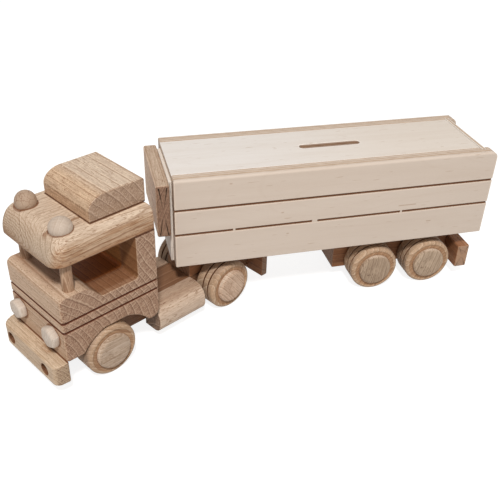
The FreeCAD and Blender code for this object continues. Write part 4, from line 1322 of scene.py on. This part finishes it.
def lid_stains(slot_low, slot_high, top):
    """Brown cut edge inside the coin slot, its pale worn rim, and a paler lid towards the front."""
    def tints(x, y, z):
        gap = hypot(past(x, slot_low + SLOT_REACH, slot_high - SLOT_REACH), y)
        flush = (top - z).ramp(0.5, 0.15)
        yield flush * x.ramp(-170.0, -10.0), (1.04, 1.09, 1.16)
        yield gap.ramp(SLOT_REACH + 0.15, SLOT_REACH - 0.05) * (top - z).ramp(0.1, 0.9), (0.62, 0.44, 0.33)
        yield gap.within(SLOT_REACH - 0.1, SLOT_REACH + 1.0, 0.25) * flush * 0.9, (1.1, 1.1, 1.09)
    return tints


def lid():
    """A thin board with rounded edges, less a slot with round ends."""
    low, high = TRAILER.box("lid")
    panel_low, panel_high = TRAILER.box("side_panel_left")
    slot_middle = (panel_low[0] + panel_high[0]) / 2 - SLOT_SETBACK
    middle = (low + high) / 2
    half = (high - low) / 2

    def distance(x, y, z):
        face = rounded_cut(np.abs(x - middle[0]) - half[0], np.abs(y) - half[1], 0.5)
        solid = rounded_cut(face, np.abs(z - middle[2]) - half[2], 0.35)
        past_straight = np.maximum(np.abs(x - slot_middle) - SLOT_LENGTH / 2 + SLOT_REACH, 0)
        return rounded_cut(solid, -(np.hypot(past_straight, y) - SLOT_REACH), 0.45)

    ends = (slot_middle - SLOT_LENGTH / 2, slot_middle + SLOT_LENGTH / 2)
    fine_x = [(ends[0] - 1, ends[0] + 5), (ends[1] - 5, ends[1] + 1)]
    shape = carved(distance,
                   levels(low[0], high[0], 3.0, fine_x, 0.35),
                   levels(low[1], high[1], 2.4, [(-SLOT_REACH - 1.2, SLOT_REACH + 1.2)], 0.35),
                   levels(low[2], high[2], 0.6, fine_step=0.25))
    material = plywood("lid_birch", LID_BIRCH, TRAILER, "z", high[2], -1, ((1.5, 2.4), (3.3, 4.1)),
                       lid_stains(*ends, high[2]))
    finished("lid", shape, TRAILER, "trailer", material, distance)


# ---- plain boards

PLAIN_BEECH_BOARDS = (
    # node, seat, body, grain, pith, edge, axis of the long edges, timber
    # the chassis beam's colours are darker still: painted shade under the cab and the trailer
    ("chassis_beam", TRACTOR, "tractor", (1, 0, 0), (0, 30, -20), 0.7, "x",
     replace(RED_BEECH, light=(0.215, 0.105, 0.052), dark=(0.15, 0.066, 0.03), bright=(0.3, 0.17, 0.1))),
    ("coupling_block", TRACTOR, "tractor", (1, 0, 0), (0, -30, 0), 0.7, "x", RED_BEECH),
    ("tail_board", TRACTOR, "tractor", (0, 1, 0), (-70, 0, 60), 0.6, "y", RED_BEECH),
    ("bogie_block", TRAILER, "trailer", (1, 0, 0), (0, 40, 90), 0.7, "x", RED_BEECH),
    ("rear_beam", TRAILER, "trailer", (0, 1, 0), (-190, 0, -14), 0.9, "y",
     replace(RED_BEECH, end_light=(0.42, 0.27, 0.18), end_dark=(0.27, 0.16, 0.105))),
    ("headboard", TRAILER, "trailer", (0, 1, 0), (-91, 0, 41), 1.5, "y",
     replace(BEECH, light=(0.56, 0.415, 0.305), dark=(0.45, 0.3, 0.2), ring=2.7, ring_lines=0.35, wander=0.3,
             grain=0.9, dashes=0.7, wear=0.0, end_light=(0.285, 0.185, 0.13), end_dark=(0.135, 0.08, 0.055),
             end_bright=(0.36, 0.25, 0.18), end_lines=0.9)),
)

PLAIN_PLY_BOARDS = (
    # node, body, edge, long edges, thickness axis, plies
    ("front_panel", "trailer", 0.5, "y", "x", ((2.2, 4.0), (5.4, 7.2))),
    ("trailer_floor", "trailer", 0.4, "x", "z", ((1.8, 3.4), (4.8, 6.4))),
    ("tailgate", "tailgate", 0.3, "y", "x", ((1.1, 2.5),)),
)


def headboard_tone_and_painted_light(x, y, z):
    """Painted light on the front face, painted shade on the top, and browner end grain."""
    _, high = TRAILER.box("headboard")
    ends = (high[1] - abs(y)).ramp(0.8, 0.2)
    # painted light on the front face, which the lamp lights at a low angle
    yield (high[0] - x).ramp(0.7, 0.2) * (1.0 - ends), (1.38, 1.36, 1.38)
    # painted shade on the top
    yield (high[2] - z).ramp(0.7, 0.2) * (1.0 - ends), (0.9, 0.91, 0.92)
    yield ends, (1.05, 0.96, 0.9)


def plain_boards():
    for node, seat, body, along, pith, edge, axis, timber in PLAIN_BEECH_BOARDS:
        tints = headboard_tone_and_painted_light if node == "headboard" else None
        material = wood(node + "_beech", timber, seat, along, pith, tints=tints)
        finished(node, board(*seat.box(node), edge, axis), seat, body, material)
    for node, body, edge, axis, thickness, plies in PLAIN_PLY_BOARDS:
        low, high = TRAILER.box(node)
        face = high["xyz".index(thickness)]
        material = plywood(node + "_birch", LID_BIRCH, TRAILER, thickness, face, -1, plies)
        finished(node, board(low, high, edge, axis), TRAILER, body, material)


def dress_frame_nodes():
    """The dowels that stay as the frame has them get wood of their own."""
    dowels = [("kingpin", TRAILER, (0, 0, 1))]
    dowels += [(entry[0] + "_axle", entry[1], (0, 1, 0)) for entry in AXLE_SETS]
    for node, seat, along in dowels:
        low, high = seat.box(node)
        mesh = frame["nodes"][node].data
        mesh.materials.clear()
        mesh.materials.append(wood(node + "_beech", RED_BEECH, seat, along, (low + high) / 2 + (9, 0, 9), 12))


# ---- stage

WORLD_LIGHT = 0.39                          # strength of the sky for everything but the camera's own view
SKY_WARMTH = (1.0, 0.955, 0.905)
WHITE = (1.0, 1.0, 1.0)
KEY_DIRECTION = Vector((0.164, 0.71, 1.0)).normalized()
KEY_AIM = Vector((0.0, 0.0, 0.06))
KEY_DISTANCE = 1.6
KEY_SIZE = 0.2
KEY_POWER = 20.0
KEY_COLOUR = (1.0, 0.975, 0.95)
FLOOR_REACH = 4.0
FLOOR_BOUNCE = (0.62, 0.62, 0.62)           # the floor as it lights the object
FLOOR_SEEN = (0.34, 0.34, 0.34)             # the floor as it is seen, which also glows
FLOOR_GLOW = 0.85
CAMERA_OFFSET = Vector((0.09152, 0.46898, 0.34926))     # from the kingpin's axis at the ground
CAMERA_DIRECTION = Vector((-0.2211, -0.8059, -0.5493))
CAMERA_ROLL = math.radians(1.89)
FOCAL_SHARE = 1.39714                       # focal length over the width of the view


def key_light():
    """One round lamp, high on the lorry's left."""
    light = bpy.data.lights.new("key", "AREA")
    light.shape = "DISK"
    light.size = KEY_SIZE
    light.energy = KEY_POWER
    light.color = KEY_COLOUR
    holder = linked("key", light)
    holder.location = KEY_AIM + KEY_DIRECTION * KEY_DISTANCE
    holder.rotation_euler = KEY_DIRECTION.to_track_quat("Z", "Y").to_euler()


def seen_directly(tree):
    """1 for what the camera sees, also mirrored or through glass, and 0 for what only lights."""
    path = add(tree, "ShaderNodeLightPath").outputs
    seen = Field(path["Is Camera Ray"]).math("MAXIMUM", Field(path["Is Glossy Ray"]))
    return seen.math("MAXIMUM", Field(path["Is Transmission Ray"]))


def floor():
    """Wide pale floor: white where nothing shades it, and darker in the object's shadow."""
    mesh = bpy.data.meshes.new("floor")
    corners = rectangle(-FLOOR_REACH, FLOOR_REACH, -FLOOR_REACH, FLOOR_REACH)
    mesh.from_pydata([(x, y, 0) for x, y in corners], [], [(0, 1, 2, 3)])
    material, tree, plain = start_material("floor_white")
    tree.nodes.remove(plain)
    bounce = add(tree, "ShaderNodeBsdfDiffuse", FLOOR_BOUNCE)
    matte = add(tree, "ShaderNodeBsdfDiffuse", FLOOR_SEEN)
    glow = add(tree, "ShaderNodeEmission", WHITE, FLOOR_GLOW)
    both = add(tree, "ShaderNodeAddShader", Field(matte.outputs[0]), Field(glow.outputs[0]))
    choice = add(tree, "ShaderNodeMixShader", seen_directly(tree), Field(bounce.outputs[0]),
                 Field(both.outputs[0]))
    feed(tree.nodes["Material Output"].inputs["Surface"], Field(choice.outputs[0]))
    mesh.materials.append(material)
    linked("floor", mesh)


def world():
    """A plain sky: soft and warm where it lights things, white where it is seen."""
    sky = bpy.data.worlds.new("studio")
    bpy.context.scene.world = sky
    sky.use_nodes = True
    seen = seen_directly(sky.node_tree)
    background = sky.node_tree.nodes["Background"]
    feed(background.inputs["Strength"], seen * (1 - WORLD_LIGHT) + WORLD_LIGHT)
    feed(background.inputs["Color"], mixed(seen, SKY_WARMTH, WHITE))


def camera():
    """Stands on the lorry's left and looks down at it."""
    data = bpy.data.cameras.new("camera")
    data.sensor_width = 36.0
    data.lens = data.sensor_width * FOCAL_SHARE
    data.clip_start = 0.01
    holder = linked("camera", data)
    holder.location = Vector(TRAILER.origin) + CAMERA_OFFSET
    turn = CAMERA_DIRECTION.to_track_quat("-Z", "Y").to_matrix()
    holder.rotation_euler = (turn @ Matrix.Rotation(CAMERA_ROLL, 3, "Z")).to_euler()
    bpy.context.scene.camera = holder


# ---- assembly

def build():
    cab_block()
    cab_roof()
    wind_deflector()
    front_bumper()
    for side, sign in SIDES:
        roof_light(side, sign)
        windscreen_pillar(side)
        headlight(side, sign)
        fuel_tank(side, sign)
        side_panel(side, sign)
        for prefix, *rest in AXLE_SETS:
            wheel_and_hub(prefix, side, sign, *rest)
    lid()
    plain_boards()
    dress_frame_nodes()
    floor()
    world()
    key_light()
    camera()
    bpy.context.scene.view_settings.view_transform = "Standard"


build()
